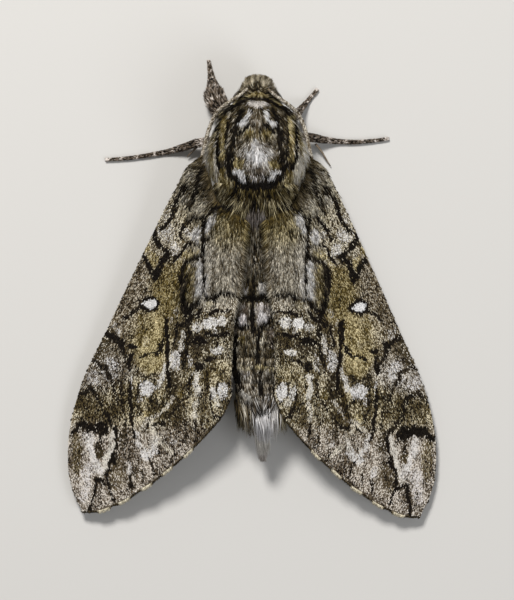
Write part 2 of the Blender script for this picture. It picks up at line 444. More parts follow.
bodyOnceStrokes = [
    (0.26, 0.02, 0.2, 0.0, 0.8, [(0.0, -5.0), (0.05, -3.4), (0.0, -1.5), (0.1, 0.6)]),
    (0.4, 0.74, 0.3, 0.1, 0.85, [(-1.55, -3.1), (-1.4, -2.2), (-1.25, -1.3)]),
    (0.42, 0.62, 0.1, 0.5, 0.85, [(1.2, -2.2), (1.5, -1.3)]),
    (0.34, 0.05, 0.2, 0.0, 0.85, [(-1.3, -0.6), (-0.6, -0.55)]),
    (0.5, 0.01, 0.0, 0.0, 0.95, [(-2.15, 2.2), (-1.8, 1.4), (-1.1, 1.15), (0.0, 1.3), (1.0, 1.15),
                                 (1.8, 1.35), (2.15, 2.2)]),
    (0.42, 0.01, 0.0, 0.0, 0.95, [(-2.15, 2.0), (-2.15, 3.3), (-1.6, 4.3), (-0.8, 4.7)]),
    (0.45, 0.01, 0.0, 0.0, 0.95, [(0.25, 1.3), (0.25, 3.2), (0.15, 5.4)]),
    (0.38, 0.01, 0.0, 0.0, 0.95, [(2.15, 2.0), (2.2, 3.4), (1.9, 4.5), (1.3, 4.9), (0.5, 4.5)]),
    (0.6, 0.5, 0.3, 0.5, 0.8, [(-1.8, 5.3), (-2.2, 6.9)]),
    (0.32, 0.84, 0.4, 0.0, 0.9, [(-1.0, 5.8), (-0.95, 6.6)]),
    (0.5, 0.01, 0.2, 0.0, 0.95, [(-0.45, 5.6), (-0.5, 7.2), (-0.42, 9.0)]),
    (0.42, 0.01, 0.2, 0.0, 0.9, [(-0.85, 9.9), (-0.9, 12.5)]),
    (0.6, 0.01, 0.2, 0.0, 0.9, [(2.0, 5.9), (2.2, 8.5), (2.15, 9.8), (1.75, 10.5), (1.75, 12.2)]),
    (0.4, 0.03, 0.2, 0.0, 0.8, [(-2.3, 6.6), (-2.7, 8.2), (-2.6, 10.3), (-2.5, 12.2)]),
    (0.26, 0.66, 0.9, 0.0, 0.9, [(-2.2, 9.7), (-1.0, 9.4), (-0.3, 9.5)]),
    (0.32, 0.72, 0.7, 0.0, 0.9, [(0.4, 9.8), (1.0, 9.7), (1.6, 9.4)]),
    (0.4, 0.88, 0.2, 0.0, 0.92, [(-0.5, 13.3), (0.1, 13.4), (0.5, 12.9), (1.3, 12.5)]),
    (0.4, 0.92, 0.0, 0.1, 0.9, [(-2.2, 15.2), (-1.9, 16.5), (-1.8, 17.6)]),
    (0.42, 0.9, 0.2, 0.0, 0.9, [(-2.8, 15.4), (-2.6, 17.3)]),
    (0.2, 0.1, 0.1, 0.0, 0.85, [(-2.4, 16.0), (-2.25, 17.4)]),
    (0.3, 0.84, 0.4, 0.0, 0.85, [(1.1, 14.9), (1.1, 16.6)]),
    (0.22, 0.14, 0.3, 0.2, 0.8, [(-2.0, 18.3), (-1.1, 18.3)]),
]
groundBase = {"values": (0.45, 0.4, 0.1, 0.6), "share": 0.05}  # where no area reaches
# Flanks and belly are plain, and the sides of the chest pale.
flankGround = {"plain": (0.4, 0.45, 0.2, 0.7), "pale": (0.98, 0.3, 0.05, 0.7)}


def groundAt(x, y, areas):
    total = np.full(len(x), groundBase["share"])
    found = np.outer(total, groundBase["values"])
    for cx, cy, rx, ry, *values in areas:
        weight = np.exp(-((((x - cx) / rx) ** 2 + ((y - cy) / ry) ** 2) ** 1.6))
        total += weight
        found += weight[:, None] * np.array(values)
    return found / total[:, None]


def layMark(field, weight, tones, pick):
    tones = tones or (0.0, 0.0, 0.0)
    if pick is None:  # a skin takes a mark softly, a scale takes it or leaves it
        share = weight[:, None]
    else:
        share = (pick < weight).astype(float)[:, None]
    field[:, :3] = field[:, :3] * (1 - share) + np.array(tones) * share
    field[:, 3:] *= 1 - (0.85 if tones[0] < 0.25 else 0.3) * share


def laySpots(field, x, y, spots, pick):
    for cx, cy, rx, ry, *tones, strength in spots:
        reach = np.hypot((x - cx) / rx, (y - cy) / ry)
        layMark(field, strength * (1 - smoothStep(0.75, 1.25, reach)), tones, pick)


def layStrokes(field, x, y, strokes, pick):
    spots = np.stack([x, y], 1)
    for n, (width, *tones, strength, line) in enumerate(strokes):
        line = np.array(line)
        low, high = line.min(0) - 1.3 * width, line.max(0) + 1.3 * width
        near = np.flatnonzero(((spots > low) & (spots < high)).all(1))
        if not len(near):
            continue
        reach = np.full(len(near), 1e9)
        for a, b in zip(line[:-1], line[1:]):
            along = b - a
            t = np.clip(((spots[near] - a) @ along) / (along @ along), 0, 1)
            reach = np.minimum(reach, lengths(spots[near] - a - t[:, None] * along))
        ragged = width * (0.55 + 0.9 * softNoise(x[near] / 0.45, y[near] / 0.6, 80 + n))
        weight = np.zeros(len(spots))
        weight[near] = strength * (1 - smoothStep(0.35, 0.9, reach / ragged))
        layMark(field, weight, tones, pick)


def speckled(field, mottle, grain, cloudy=0.34):  # tone, warmth and rosiness once the speckle is in
    if grain is None:
        field[:, 0] += field[:, 3] * 0.3 * (mottle - 0.5)
    else:
        grain = smoothStep(0.15, 0.85, grain)
        field[:, 0] += field[:, 3] * cloudy * (mottle - 0.5) + (0.12 + 0.84 * field[:, 3]) * (grain - 0.5)
    field[:, 0] = np.clip(field[:, 0], 0.0, 1.0)
    return field[:, :3]


def wandering(value, x, y, seed):  # so that no mark has a straight edge
    value = value + 0.34 * waver(x / 0.9, y / 0.9, seed)
    return value + 0.2 * waver(x / 0.35, y / 0.35, seed + 1)


def wingMarks(spots, side, scales=True):
    seed = 5 if side > 0 else 9
    x, y = np.abs(spots[:, 0]), spots[:, 1]
    x = wandering(x, x, y, seed)
    y = wandering(y, x, y, seed + 2)
    pick = luck.random(len(x)) if scales else None
    grain = 0.8 * luck.random(len(x)) + 0.2 * softNoise(x / 0.2, y / 0.3, seed + 6) if scales else None
    field = groundAt(x, y, wingGround)
    fan = np.arctan2(x - 3.0, y + 22.0)  # streaks fan out from ahead of the wing's root
    reach = np.hypot(x - 3.0, y + 22.0)
    mottle = 0.55 * softNoise(fan * 42, reach / 2.2, seed + 4)
    mottle += 0.45 * softNoise(fan * 90, reach, seed + 5)
    laySpots(field, x, y, wingMidSpots + wingPaleSpots, pick)
    layStrokes(field, x, y, wingPaleStrokes, pick)
    laySpots(field, x, y, wingDarkSpots, pick)
    layStrokes(field, x, y, wingDarkStrokes, pick)
    laySpots(field, x, y, wingEyeSpot, pick)
    return speckled(field, mottle, grain, 0.4 + 0.75 * smoothStep(1.0, 6.0, y))


def bodyMarks(spots, facing, scales=True):
    x, y = spots[:, 0], spots[:, 1]
    facing = np.broadcast_to(facing, len(x))
    sway = 0.25 * waver(x / 0.8, y / 0.8, 21)
    side = np.abs(x - middleAt(y)) + np.sign(x) * sway + 0.12 * waver(x / 0.3, y / 0.3, 22)
    along = y + 0.25 * waver(x / 0.8, y / 0.8, 23)
    pick = luck.random(len(x)) if scales else None
    grain = 0.55 * luck.random(len(x)) + 0.45 * softNoise(x / 0.14, y / 0.4, 25) if scales else None
    field = groundAt(side, along, bodyGround)
    laySpots(field, side, along, bodySpots, pick)
    layStrokes(field, side, along, bodyStrokes, pick)
    laySpots(field, x, y, bodyOnce, pick)
    layStrokes(field, x, y, bodyOnceStrokes, pick)
    plain, pale = np.array(flankGround["plain"]), np.array(flankGround["pale"])
    pale = plain + (pale - plain) * (smoothStep(-0.95, -0.5, facing) * smoothStep(-21.0, -19.6, y))[:, None]
    low = plain + (pale - plain) * (1 - smoothStep(-13.5, -9.0, y))[:, None]
    share = smoothStep(-0.45, -0.05, facing)[:, None]
    return speckled(low * (1 - share) + field * share, softNoise(x / 0.28, y / 0.9, 24), grain, 0.75)


# Finishes
palette = {
    "Dark": (0.006, 0.004, 0.0025),
    "Grey Mid": (0.130, 0.104, 0.072),
    "Grey Light": (0.88, 0.87, 0.87),
    "Warm Mid": (0.152, 0.107, 0.025),
    "Warm Light": (0.86, 0.74, 0.42),
    "Rosy Mid": (0.165, 0.120, 0.092),
    "Rosy Light": (0.88, 0.80, 0.78),
}


def feed(node, sources):  # gives inputs, by name or number, a value or another node's output
    for socket, source in sources.items():
        if isinstance(source, bpy.types.NodeSocket):
            node.id_data.links.new(source, node.inputs[socket])
        else:
            node.inputs[socket].default_value = source


def newNode(tree, kind, sources=None, **settings):
    node = tree.nodes.new(kind)
    for name, value in settings.items():
        setattr(node, name, value)
    feed(node, sources or {})
    return node


def newTree(name, kind, inputs, output):  # sockets are given as their names with their kinds
    tree = bpy.data.node_groups.new(name, kind)
    for inOut, sockets in (("INPUT", inputs), ("OUTPUT", output)):
        for socket, socketKind in sockets.items():
            tree.interface.new_socket(socket, in_out=inOut, socket_type="NodeSocket" + socketKind)
    return tree, newNode(tree, "NodeGroupInput").outputs, newNode(tree, "NodeGroupOutput")


def newFinish(name):
    material = bpy.data.materials.new(name)
    material.use_nodes = True
    return material, material.node_tree, material.node_tree.nodes["Principled BSDF"]


def scaleColourGroup():
    inputs = {"Marks": "Vector", **dict.fromkeys(palette, "Color"), "Root Shade": "Float", "Along": "Float"}
    tree, given, out = newTree("scaleColour", "ShaderNodeTree", inputs, {"Colour": "Color"})
    parts = newNode(tree, "ShaderNodeSeparateXYZ", {0: given["Marks"]}).outputs

    def mixed(factor, first, second):
        sources = {"Factor": factor, 6: first, 7: second}
        return newNode(tree, "ShaderNodeMix", sources, data_type="RGBA").outputs[2]

    def ranged(value, low, high):
        sources = {"Value": value, "From Min": low, "From Max": high}
        return newNode(tree, "ShaderNodeMapRange", sources, interpolation_type="SMOOTHSTEP").outputs["Result"]

    lower, upper = ranged(parts["X"], 0.0, 0.5), ranged(parts["X"], 0.4, 1.0)
    ramps = []
    for kind in ("Grey", "Warm", "Rosy"):
        middle = mixed(lower, given["Dark"], given[kind + " Mid"])
        ramps.append(mixed(upper, middle, given[kind + " Light"]))
    colour = mixed(parts["Z"], mixed(parts["Y"], ramps[0], ramps[1]), ramps[2])
    shade = newNode(tree, "ShaderNodeMath", {0: 1.0, 1: ranged(given["Along"], 0.0, 0.4)},
                    operation="SUBTRACT", use_clamp=True)
    depth = newNode(tree, "ShaderNodeMath", {0: shade.outputs[0], 1: given["Root Shade"]},
                    operation="MULTIPLY", use_clamp=True)
    feed(out, {"Colour": mixed(depth.outputs[0], colour, given["Dark"])})
    return tree


def fineGrainGroup():
    inputs = {"Size": "Float", "Stretch": "Float"}
    tree, given, out = newTree("fineGrain", "ShaderNodeTree", inputs, {"Height": "Float"})
    place = newNode(tree, "ShaderNodeTexCoord").outputs["Object"]
    pull = newNode(tree, "ShaderNodeCombineXYZ", {0: 1.0, 1: given["Stretch"], 2: 1.0})
    scaled = newNode(tree, "ShaderNodeVectorMath", {0: place, 1: pull.outputs[0]}, operation="MULTIPLY")
    sources = {"Vector": scaled.outputs[0], "Scale": given["Size"], "Detail": 3.0}
    feed(out, {"Height": newNode(tree, "ShaderNodeTexNoise", sources).outputs["Fac"]})
    return tree


scaleColour, fineGrain = scaleColourGroup(), fineGrainGroup()


def scaledFinish(name, roughness, sheen, rootShade, grainSize, grainDepth):
    material, tree, shader = newFinish(name)
    sources = {socket: (*colour, 1.0) for socket, colour in palette.items()}
    sources["Marks"] = newNode(tree, "ShaderNodeAttribute", attribute_name="marks").outputs["Vector"]
    sources["Along"] = newNode(tree, "ShaderNodeAttribute", attribute_name="along").outputs["Fac"]
    sources["Root Shade"] = rootShade
    group = newNode(tree, "ShaderNodeGroup", sources, node_tree=scaleColour)
    grain = newNode(tree, "ShaderNodeGroup", {"Size": grainSize, "Stretch": 0.35}, node_tree=fineGrain)
    bump = newNode(tree, "ShaderNodeBump", {"Distance": grainDepth, "Height": grain.outputs["Height"]})
    feed(shader, {"Roughness": roughness, "Specular IOR Level": 0.06, "Sheen Weight": sheen,
                  "Sheen Roughness": 0.45, "Base Color": group.outputs["Colour"],
                  "Normal": bump.outputs["Normal"]})
    return material


finishValues = {  # roughness, sheen, how dark the roots are, and the fineness and depth of the grain
    "wingScales": (0.62, 0.02, 0.4, 9000, 0.00001),
    "bodyFur": (0.7, 0.03, 0.5, 9000, 0.00001),
    "legScales": (0.6, 0.03, 0.5, 9000, 0.00001),
    "underSkin": (0.75, 0.03, 0.0, 6000, 0.00003),
    "wingMembrane": (0.6, 0.03, 0.0, 5000, 0.00003),
}
finishes = {name: scaledFinish(name, *values) for name, values in finishValues.items()}
print("finishes ready")


eye = {
    "centre": (1.64, -21.7, 5.55),
    "radius": 1.32,
    "facets": 9000,
    "colour": (0.010, 0.006, 0.004),
    "paleColour": (0.035, 0.021, 0.012),
}


def eyeSpot(side):
    x, y, z = eye["centre"]
    return np.array([side * x, y, z])


# Body: one outline from the brow to the tail, as y, half width, lowest z, highest z, forward lean
body = {
    "outline": [
        (-24.0, 0.7, 5.3, 6.5, 0.0), (-23.75, 1.2, 4.8, 7.3, 0.0), (-23.25, 1.55, 4.4, 7.85, 0.05),
        (-22.75, 1.75, 4.1, 8.2, 0.12), (-22.3, 1.88, 3.8, 8.5, 0.2), (-21.5, 2.1, 3.5, 8.85, 0.33),
        (-20.7, 2.45, 3.4, 9.05, 0.48), (-20.35, 2.95, 3.2, 9.35, 0.52), (-19.9, 3.75, 2.9, 9.9, 0.55),
        (-19.4, 4.3, 2.7, 10.3, 0.58), (-19.0, 4.5, 2.6, 10.45, 0.6), (-18.65, 4.5, 2.5, 10.6, 0.6),
        (-17.8, 4.8, 2.25, 11.0, 0.5), (-16.3, 4.95, 1.95, 11.4, 0.3), (-14.5, 5.0, 1.75, 11.5, 0.14),
        (-12.6, 4.85, 1.7, 11.15, 0.04), (-10.8, 4.45, 1.75, 10.4, 0.0), (-8.7, 3.7, 2.0, 9.1, 0.0),
        (-6.0, 3.85, 1.5, 8.5, 0.0), (-2.0, 3.85, 1.25, 8.1, 0.0), (2.0, 3.75, 1.2, 7.75, 0.0),
        (6.0, 3.5, 1.25, 7.35, 0.0), (10.0, 3.1, 1.4, 6.9, 0.0), (13.0, 2.6, 1.6, 6.3, 0.0),
        (14.4, 2.15, 1.8, 5.8, 0.0), (16.0, 1.5, 2.2, 5.2, 0.0), (17.4, 0.95, 2.6, 4.7, 0.0),
        (18.8, 0.62, 2.9, 4.25, 0.0), (19.9, 0.4, 3.1, 3.95, 0.0),
    ],
    "front": -23.95,
    "back": 19.6,
    "coatDepth": 0.34,
    "rootDepth": 0.04,
    "padStart": -18.45,
    "padEnd": -11.3,
    "padTop": math.radians(25),
    "padLow": math.radians(101),
    "padRise": math.radians(40),
    "padThickness": 1.0,
    "segments": [-8.4, -5.2, -1.9, 1.4, 4.7, 7.9, 10.9, 13.7],
    "swell": 0.14,
    "eyeRim": 0.16,
    "eyeMarks": (0.16, 0.5, 0.1),
    "legMarks": (0.2, 0.45, 0.6),
}


def middleAt(y):  # the tail bends a little to one side
    return -1.3 * np.clip(y / 19.9, 0.0, None) ** 1.6


def padGrowth(y, angle):  # how far the shoulder pads stand out over the chest
    along = (y - body["padStart"]) / (body["padEnd"] - body["padStart"])
    low = body["padLow"] - body["padRise"] * along
    share = (np.abs(angle) - body["padTop"]) / (low - body["padTop"])
    inside = between(share, -0.02, 0.15, 0.94, 1.03) * between(along, -0.03, 0.5, 0.93, 1.04)
    across, length = np.clip(share, 0, 1), np.clip(along, 0, 1)
    plump = np.sin(np.pi * (0.12 + 0.76 * across)) ** 0.6 * np.sin(np.pi * (0.14 + 0.72 * length)) ** 0.5
    return inside * (0.3 + body["padThickness"] * plump - 0.05)


def segmentGrowth(y):
    cuts = np.array(body["segments"])
    i = np.clip(np.searchsorted(cuts, y) - 1, 0, len(cuts) - 2)
    share = np.clip((y - cuts[i]) / (cuts[i + 1] - cuts[i]), 0, 1)
    inside = (y > cuts[0]) & (y < cuts[-1])
    sunk = 0.6 * between(y, cuts[0], cuts[0] + 1.5, cuts[-1] - 1.5, cuts[-1])
    return np.where(inside, body["swell"] * (np.abs(np.sin(np.pi * share**1.5)) ** 0.7 - sunk), 0.0)


def bodySurface(y, angle, extra=0.0):
    rows = np.array(body["outline"])
    half, low, high, lean = easedRows(rows[:, 0], rows[:, 1:], y).T
    depth = body["coatDepth"] * smoothStep(0.0, 1.2, half)
    grow = padGrowth(y, angle) + segmentGrowth(y) - depth + extra
    side, up = np.sin(angle), np.cos(angle)
    across = (half + grow) * np.sign(side) * np.abs(side) ** 0.9
    rise = ((high - low) / 2 + grow) * np.sign(up) * np.abs(up) ** 0.9
    return np.stack([middleAt(y) + across, y - lean * rise, (low + high) / 2 + rise], 1)


def bodyFrame(y, angle):  # the surface's outward direction and its two tangents
    step = 0.02
    back = unitRows(bodySurface(y + step, angle) - bodySurface(y - step, angle))
    around = unitRows(bodySurface(y, angle + step) - bodySurface(y, angle - step))
    return unitRows(np.cross(around, back)), back, around


def rootSpots(y, angle):
    return bodySurface(y, angle, -body["rootDepth"])


# Limbs: x, y, z and radius along each
limbs = {
    "foreleg_left": [(1.6, -17.9, 3.6, 0.95), (1.9, -18.6, 1.7, 0.75), (3.2, -19.9, 1.8, 0.9),
                     (4.4, -21.1, 2.0, 1.15), (4.95, -22.1, 1.8, 1.1), (5.2, -23.2, 1.2, 0.76),
                     (5.5, -24.7, 0.4, 0.42), (5.84, -26.55, 0.26, 0.26)],
    "foreleg_right": [(-1.6, -17.9, 3.6, 0.95), (-1.9, -18.6, 1.7, 0.75), (-3.2, -19.6, 1.9, 0.72),
                      (-4.4, -20.2, 2.0, 0.56), (-5.1, -21.1, 1.1, 0.42), (-5.9, -22.1, 0.28, 0.32),
                      (-6.9, -23.35, 0.26, 0.26)],
    "midleg_left": [(2.2, -15.6, 3.2, 0.9), (3.2, -16.0, 1.6, 0.7), (5.0, -16.9, 1.9, 0.66),
                    (6.7, -16.9, 1.9, 0.56), (8.6, -16.4, 1.0, 0.46), (10.4, -15.9, 0.36, 0.36),
                    (12.9, -15.4, 0.28, 0.31), (15.4, -15.0, 0.26, 0.28), (17.6, -14.82, 0.26, 0.26)],
    "midleg_right": [(-2.2, -15.8, 3.2, 0.9), (-3.2, -16.2, 1.6, 0.7), (-4.8, -17.5, 1.9, 0.66),
                     (-6.2, -17.7, 1.8, 0.56), (-7.7, -17.55, 1.0, 0.46), (-9.4, -17.4, 0.36, 0.36),
                     (-11.5, -17.35, 0.28, 0.31), (-13.4, -17.5, 0.26, 0.28), (-15.3, -17.78, 0.26, 0.26)],
    "hindleg_left": [(2.2, -12.4, 3.2, 0.9), (3.2, -12.0, 1.4, 0.7), (5.2, -10.4, 2.1, 0.66),
                     (6.7, -8.4, 2.7, 0.56), (7.8, -4.6, 1.8, 0.46), (8.6, -1.2, 0.54, 0.38),
                     (9.3, 1.5, 0.28, 0.31), (9.9, 4.2, 0.26, 0.28), (10.36, 6.8, 0.26, 0.26)],
    "palp_left": [(0.8, -21.6, 3.6, 0.6), (0.9, -22.2, 2.75, 0.5), (0.95, -23.1, 2.5, 0.6),
                  (0.92, -23.8, 2.95, 0.62), (0.86, -24.12, 3.55, 0.5), (0.82, -24.27, 4.05, 0.34),
                  (0.8, -24.3, 4.3, 0.15)],
}
for kind in ("hindleg", "palp"):
    limbs[kind + "_right"] = [(-x, y, z, r) for x, y, z, r in limbs[kind + "_left"]]
legNames = [name for name in limbs if "leg" in name]
limbDepth = 0.09  # how far a limb's skin lies under the tips of its scales


def limbRings(path, count):
    samples = curveThrough(path, np.linspace(0, 1, count))
    along = unitRows(np.gradient(samples[:, :3], axis=0))
    across, up = np.zeros_like(along), np.zeros_like(along)
    side = Vector(along[0]).cross(Vector((0, 0, 1))).normalized()
    for i, direction in enumerate(along):
        direction = Vector(direction)
        side = (side - direction * side.dot(direction)).normalized()
        across[i], up[i] = side, direction.cross(side)
    return samples, along, across, up


def limbSurface(rings, share, turn, inset):
    samples, along, across, up = rings
    at = np.clip(share, 0, 1) * (len(samples) - 1)
    i = np.clip(at.astype(int), 0, len(samples) - 2)
    t = (at - i)[:, None]

    def read(rows):
        return rows[i] * (1 - t) + rows[i + 1] * t

    centre, side, rise = read(samples), unitRows(read(across)), unitRows(read(up))
    outward = side * np.cos(turn)[:, None] + rise * np.sin(turn)[:, None]
    spot = centre[:, :3] + outward * (centre[:, 3:] - inset)
    spot[:, 2] = np.maximum(spot[:, 2], 0.05)
    return spot, outward, unitRows(read(along))


def limbLength(rings):
    return lengths(np.diff(rings[0][:, :3], axis=0)).sum()


def tubeSpots(rings, sides, inset):
    count = len(rings[0])
    share = np.repeat(np.arange(count) / (count - 1), sides)
    turn = np.tile(2 * np.pi * np.arange(sides) / sides, count)
    return limbSurface(rings, share, turn, inset)[0]


def loftFaces(rings, sides):  # a closed tube, each end closed by one face
    faces = [list(range(sides))[::-1], list(range((rings - 1) * sides, rings * sides))]
    for r in range(rings - 1):
        for k in range(sides):
            a, b = r * sides + k, r * sides + (k + 1) % sides
            faces.append([a, b, b + sides, a + sides])
    return faces


def addLimbs(skin, rings, sides):
    for name, path in limbs.items():
        spots = tubeSpots(limbRings(path, rings), sides, limbDepth)
        limb = newPiece(name + "_core", spots, loftFaces(rings, sides))
        outwardFaces(limb)
        join = skin.modifiers.new(name, "BOOLEAN")
        join.operation, join.solver, join.object = "UNION", "MANIFOLD", limb
    settle(skin)
    for name in limbs:
        bpy.data.objects.remove(bpy.data.objects[name + "_core"])


def skinMarks(spots, outward):
    marks = bodyMarks(spots, outward[:, 2], scales=False)
    for side in (1, -1):  # dark round each eye
        near = smoothStep(2.5, 1.7, lengths(spots - eyeSpot(side)))[:, None]
        marks = marks * (1 - near) + near * np.array(body["eyeMarks"])
    reach = np.abs(spots[:, 0])
    leg = (reach > 3.4) | ((spots[:, 1] > -21.0) & (spots[:, 1] < -9.5) & (reach > 1.4))
    leg = (leg * smoothStep(4.3, 3.2, spots[:, 2]))[:, None]
    return marks * (1 - leg) + leg * np.array(body["legMarks"])


def makeSkin():
    sides, count = 88, 250
    close = np.linspace(body["front"], -10.5, 130)  # rings lie closer together over the head and chest
    y = np.concatenate([close, np.linspace(-10.3, body["back"], count - len(close))])
    angle = np.tile(2 * np.pi * np.arange(sides) / sides - np.pi, count)
    spots = bodySurface(np.repeat(y, sides), angle)
    for side in (1, -1):  # a raised rim where the skin meets each eye
        away = spots - eyeSpot(side)
        reach = lengths(away)[:, None]
        spots += away / reach * body["eyeRim"] * np.exp(-(((reach - 1.42) / 0.16) ** 2))
    skin = newPiece("skin", spots, loftFaces(count, sides))
    outwardFaces(skin)
    addLimbs(skin, 70, 14)
    skin.data.shade_smooth()
    skin.data.materials.clear()
    skin.data.materials.append(finishes["underSkin"])
    markSkin(skin.data, skinMarks(*readPoints(skin.data)))
    return skin


skin = makeSkin()
print("skin:", len(skin.data.polygons), "faces")


# The coat. A tuft is one unit long along y, one wide along x and one thick along z.
def tuftObject(name, spots, faces):
    mesh = bpy.data.meshes.new(name)
    mesh.from_pydata(spots, [], faces)
    mesh.shade_smooth()
    along = np.clip([y for _, y, _ in spots], 0.0, 1.0)
    setAttribute(mesh, "along", along)
    setAttribute(mesh, "tuftSpot", columns([x + 0.5 for x, _, _ in spots], along, 0.0))
    tuft = bpy.data.objects.new(name, mesh)
    scene.collection.objects.link(tuft)
    outwardFaces(tuft)
    tuft.hide_render = True
    return tuft


def spindleTuft(name, widest, ridge, bend):  # a root, three points round the widest part, and a tip
    lean = bend * 0.3
    spots = [(0, 0, 0), (-0.5 + lean, widest, 0), (0.5 + lean, widest, 0), (lean, widest - 0.04, ridge)]
    faces = [(0, 2, 1), (0, 3, 2), (0, 1, 3), (4, 1, 2), (4, 2, 3), (4, 3, 1)]
    return tuftObject(name, spots + [(bend, 1.0, 0)], faces)


hairs = [spindleTuft("hairLeft", 0.42, 1.7, -0.9), spindleTuft("hairStraight", 0.38, 1.5, 0.0),
         spindleTuft("hairRight", 0.42, 1.7, 0.9)]
scales = [spindleTuft("scaleLeft", 0.66, 1.0, -0.12), spindleTuft("scaleEven", 0.6, 1.0, 0.0),
          spindleTuft("scaleRight", 0.66, 1.0, 0.12)]
tuftKinds = ("Tuft A", "Tuft B", "Tuft C")


def namedRows(tree, name, kind="FLOAT_VECTOR"):
    node = newNode(tree, "GeometryNodeInputNamedAttribute", {"Name": name}, data_type=kind)
    return node.outputs["Attribute"]


def coatTree():
    inputs = {"Roots": "Geometry", **dict.fromkeys(tuftKinds, "Object"), "Patch": "Float", "Untidy": "Float",
              "Seed": "Int", "Finish": "Material"}
    tree, given, out = newTree("layCoat", "GeometryNodeTree", inputs, {"Coat": "Geometry"})
    sources = {"Primary Axis": namedRows(tree, "outward"), "Secondary Axis": namedRows(tree, "lie")}
    frameTurn = newNode(tree, "FunctionNodeAxesToRotation", sources, primary_axis="Z", secondary_axis="Y")
    negative = newNode(tree, "ShaderNodeMath", {0: given["Untidy"], 1: -1.0}, operation="MULTIPLY")
    spread = []
    for i in range(3):
        shift = newNode(tree, "ShaderNodeMath", {0: given["Seed"], 1: 11 * i}, operation="ADD")
        sources = {2: negative.outputs[0], 3: given["Untidy"], "Seed": shift.outputs[0]}
        spread.append(newNode(tree, "FunctionNodeRandomValue", sources, data_type="FLOAT").outputs[1])
    sources = {0: spread[0], 1: 0.35, 2: namedRows(tree, "lift", "FLOAT")}
    lifted = newNode(tree, "ShaderNodeMath", sources, operation="MULTIPLY_ADD")
    angles = newNode(tree, "ShaderNodeCombineXYZ", {0: lifted.outputs[0], 1: spread[1], 2: spread[2]})
    turn = newNode(tree, "FunctionNodeEulerToRotation", {0: angles.outputs[0]})
    sources = {0: frameTurn.outputs[0], 1: turn.outputs[0]}
    turned = newNode(tree, "FunctionNodeRotateRotation", sources, rotation_space="LOCAL")
    kinds = newNode(tree, "GeometryNodeJoinGeometry")
    for name in reversed(tuftKinds):
        info = newNode(tree, "GeometryNodeObjectInfo", {"Object": given[name], "As Instance": True})
        feed(kinds, {0: info.outputs["Geometry"]})
    which = newNode(tree, "FunctionNodeRandomValue", {4: 0, 5: 2, "Seed": given["Seed"]}, data_type="INT")
    plant = newNode(tree, "GeometryNodeInstanceOnPoints", {
        "Points": given["Roots"], "Instance": kinds.outputs[0], "Pick Instance": True,
        "Instance Index": which.outputs[2], "Rotation": turned.outputs[0], "Scale": namedRows(tree, "size")})
    real = newNode(tree, "GeometryNodeRealizeInstances", {0: plant.outputs[0]})
    sources = {0: namedRows(tree, "tuftSpot"), "Scale": given["Patch"]}
    patch = newNode(tree, "ShaderNodeVectorMath", sources, operation="SCALE")
    sources = {0: namedRows(tree, "rootSpot"), 1: patch.outputs[0]}
    spot = newNode(tree, "ShaderNodeVectorMath", sources, operation="ADD")
    sources = {"Geometry": real.outputs[0], "Name": "OFBake", "Value": spot.outputs[0]}
    store = newNode(tree, "GeometryNodeStoreNamedAttribute", sources, data_type="FLOAT2", domain="CORNER")
    sources = {"Geometry": store.outputs[0], "Material": given["Finish"]}
    feed(out, {0: newNode(tree, "GeometryNodeSetMaterial", sources).outputs[0]})
    return tree


layCoat = coatTree()
patchSize = 0.003  # of one tuft, in the coat's bake map


def setInputs(modifier, values):
    for item in modifier.node_group.interface.items_tree:
        if item.item_type == "SOCKET" and item.in_out == "INPUT" and item.name in values:
            modifier[item.identifier] = values[item.name]


def growCoat(name, batches, tufts, finish, untidy, seed):
    roots = {key: np.concatenate([batch[key] for batch in batches]) for key in batches[0]}
    piece = newPiece(name, roots.pop("at"), [])
    roots["size"] *= mm
    for key, values in roots.items():
        setAttribute(piece.data, key, values)
    grow = piece.modifiers.new("coat", "NODES")
    grow.node_group = layCoat
    kinds = dict(zip(tuftKinds, tufts))
    setInputs(grow, {**kinds, "Patch": patchSize, "Untidy": untidy, "Seed": seed, "Finish": finish})
    mesh = settle(piece)
    for key in ("outward", "lie", "rootSpot", "size", "lift", "tuftSpot"):
        if key in mesh.attributes:
            mesh.attributes.remove(mesh.attributes[key])
    keepInside(mesh)
    triangles = sum(len(p.vertices) - 2 for p in mesh.polygons)
    print(f"{name}: {len(roots['lift'])} tufts, {triangles} triangles")
    return piece


def batchOf(at, outward, lie, size, lift, spot, marks):
    count = len(at)
    return {
        "at": at, "outward": np.broadcast_to(outward, (count, 3)), "lie": lie,
        "rootSpot": np.column_stack([spot, np.zeros(count)]), "marks": marks,
        "size": np.array(np.broadcast_to(size, (count, 3)), float),
        "lift": np.array(np.broadcast_to(lift, count), float),
    }


def bodyRoots(yFrom, yTo, rowGap, gap, fromAngle, toAngle):
    rows = np.array(body["outline"])
    ys, angles = [], []
    for i, y in enumerate(np.arange(yFrom, yTo, rowGap)):
        half, low, high, _ = easedRows(rows[:, 0], rows[:, 1:], np.array([y]))[0]
        girth = np.pi * (half + (high - low) / 2 + 0.3)
        count = max(5, int(girth * (toAngle - fromAngle) / (2 * np.pi) / gap))
        turn = fromAngle + (np.arange(count) + 0.25 + 0.5 * (i % 2)) / count * (toAngle - fromAngle)
        ys.append(np.full(count, y))
        angles.append(turn)
    y, angle = np.concatenate(ys), np.concatenate(angles)
    y = y + rowGap * 0.3 * vary(y, -0.5, 1.0)
    return y, angle + 0.3 * gap / 4.0 * vary(y, -0.5, 1.0)


def rootPatch(y, angle, span):  # where the roots lie in the coat's bake map
    return columns(angle / (2 * np.pi) + 0.5, (y - span[0]) / (span[1] - span[0]) * 0.99)


def tipOf(spots, lie, long, share=0.6):
    return spots + lie * long[:, None] * share


lock = {"wide": 0.42, "deep": 0.6, "pull": 0.45}


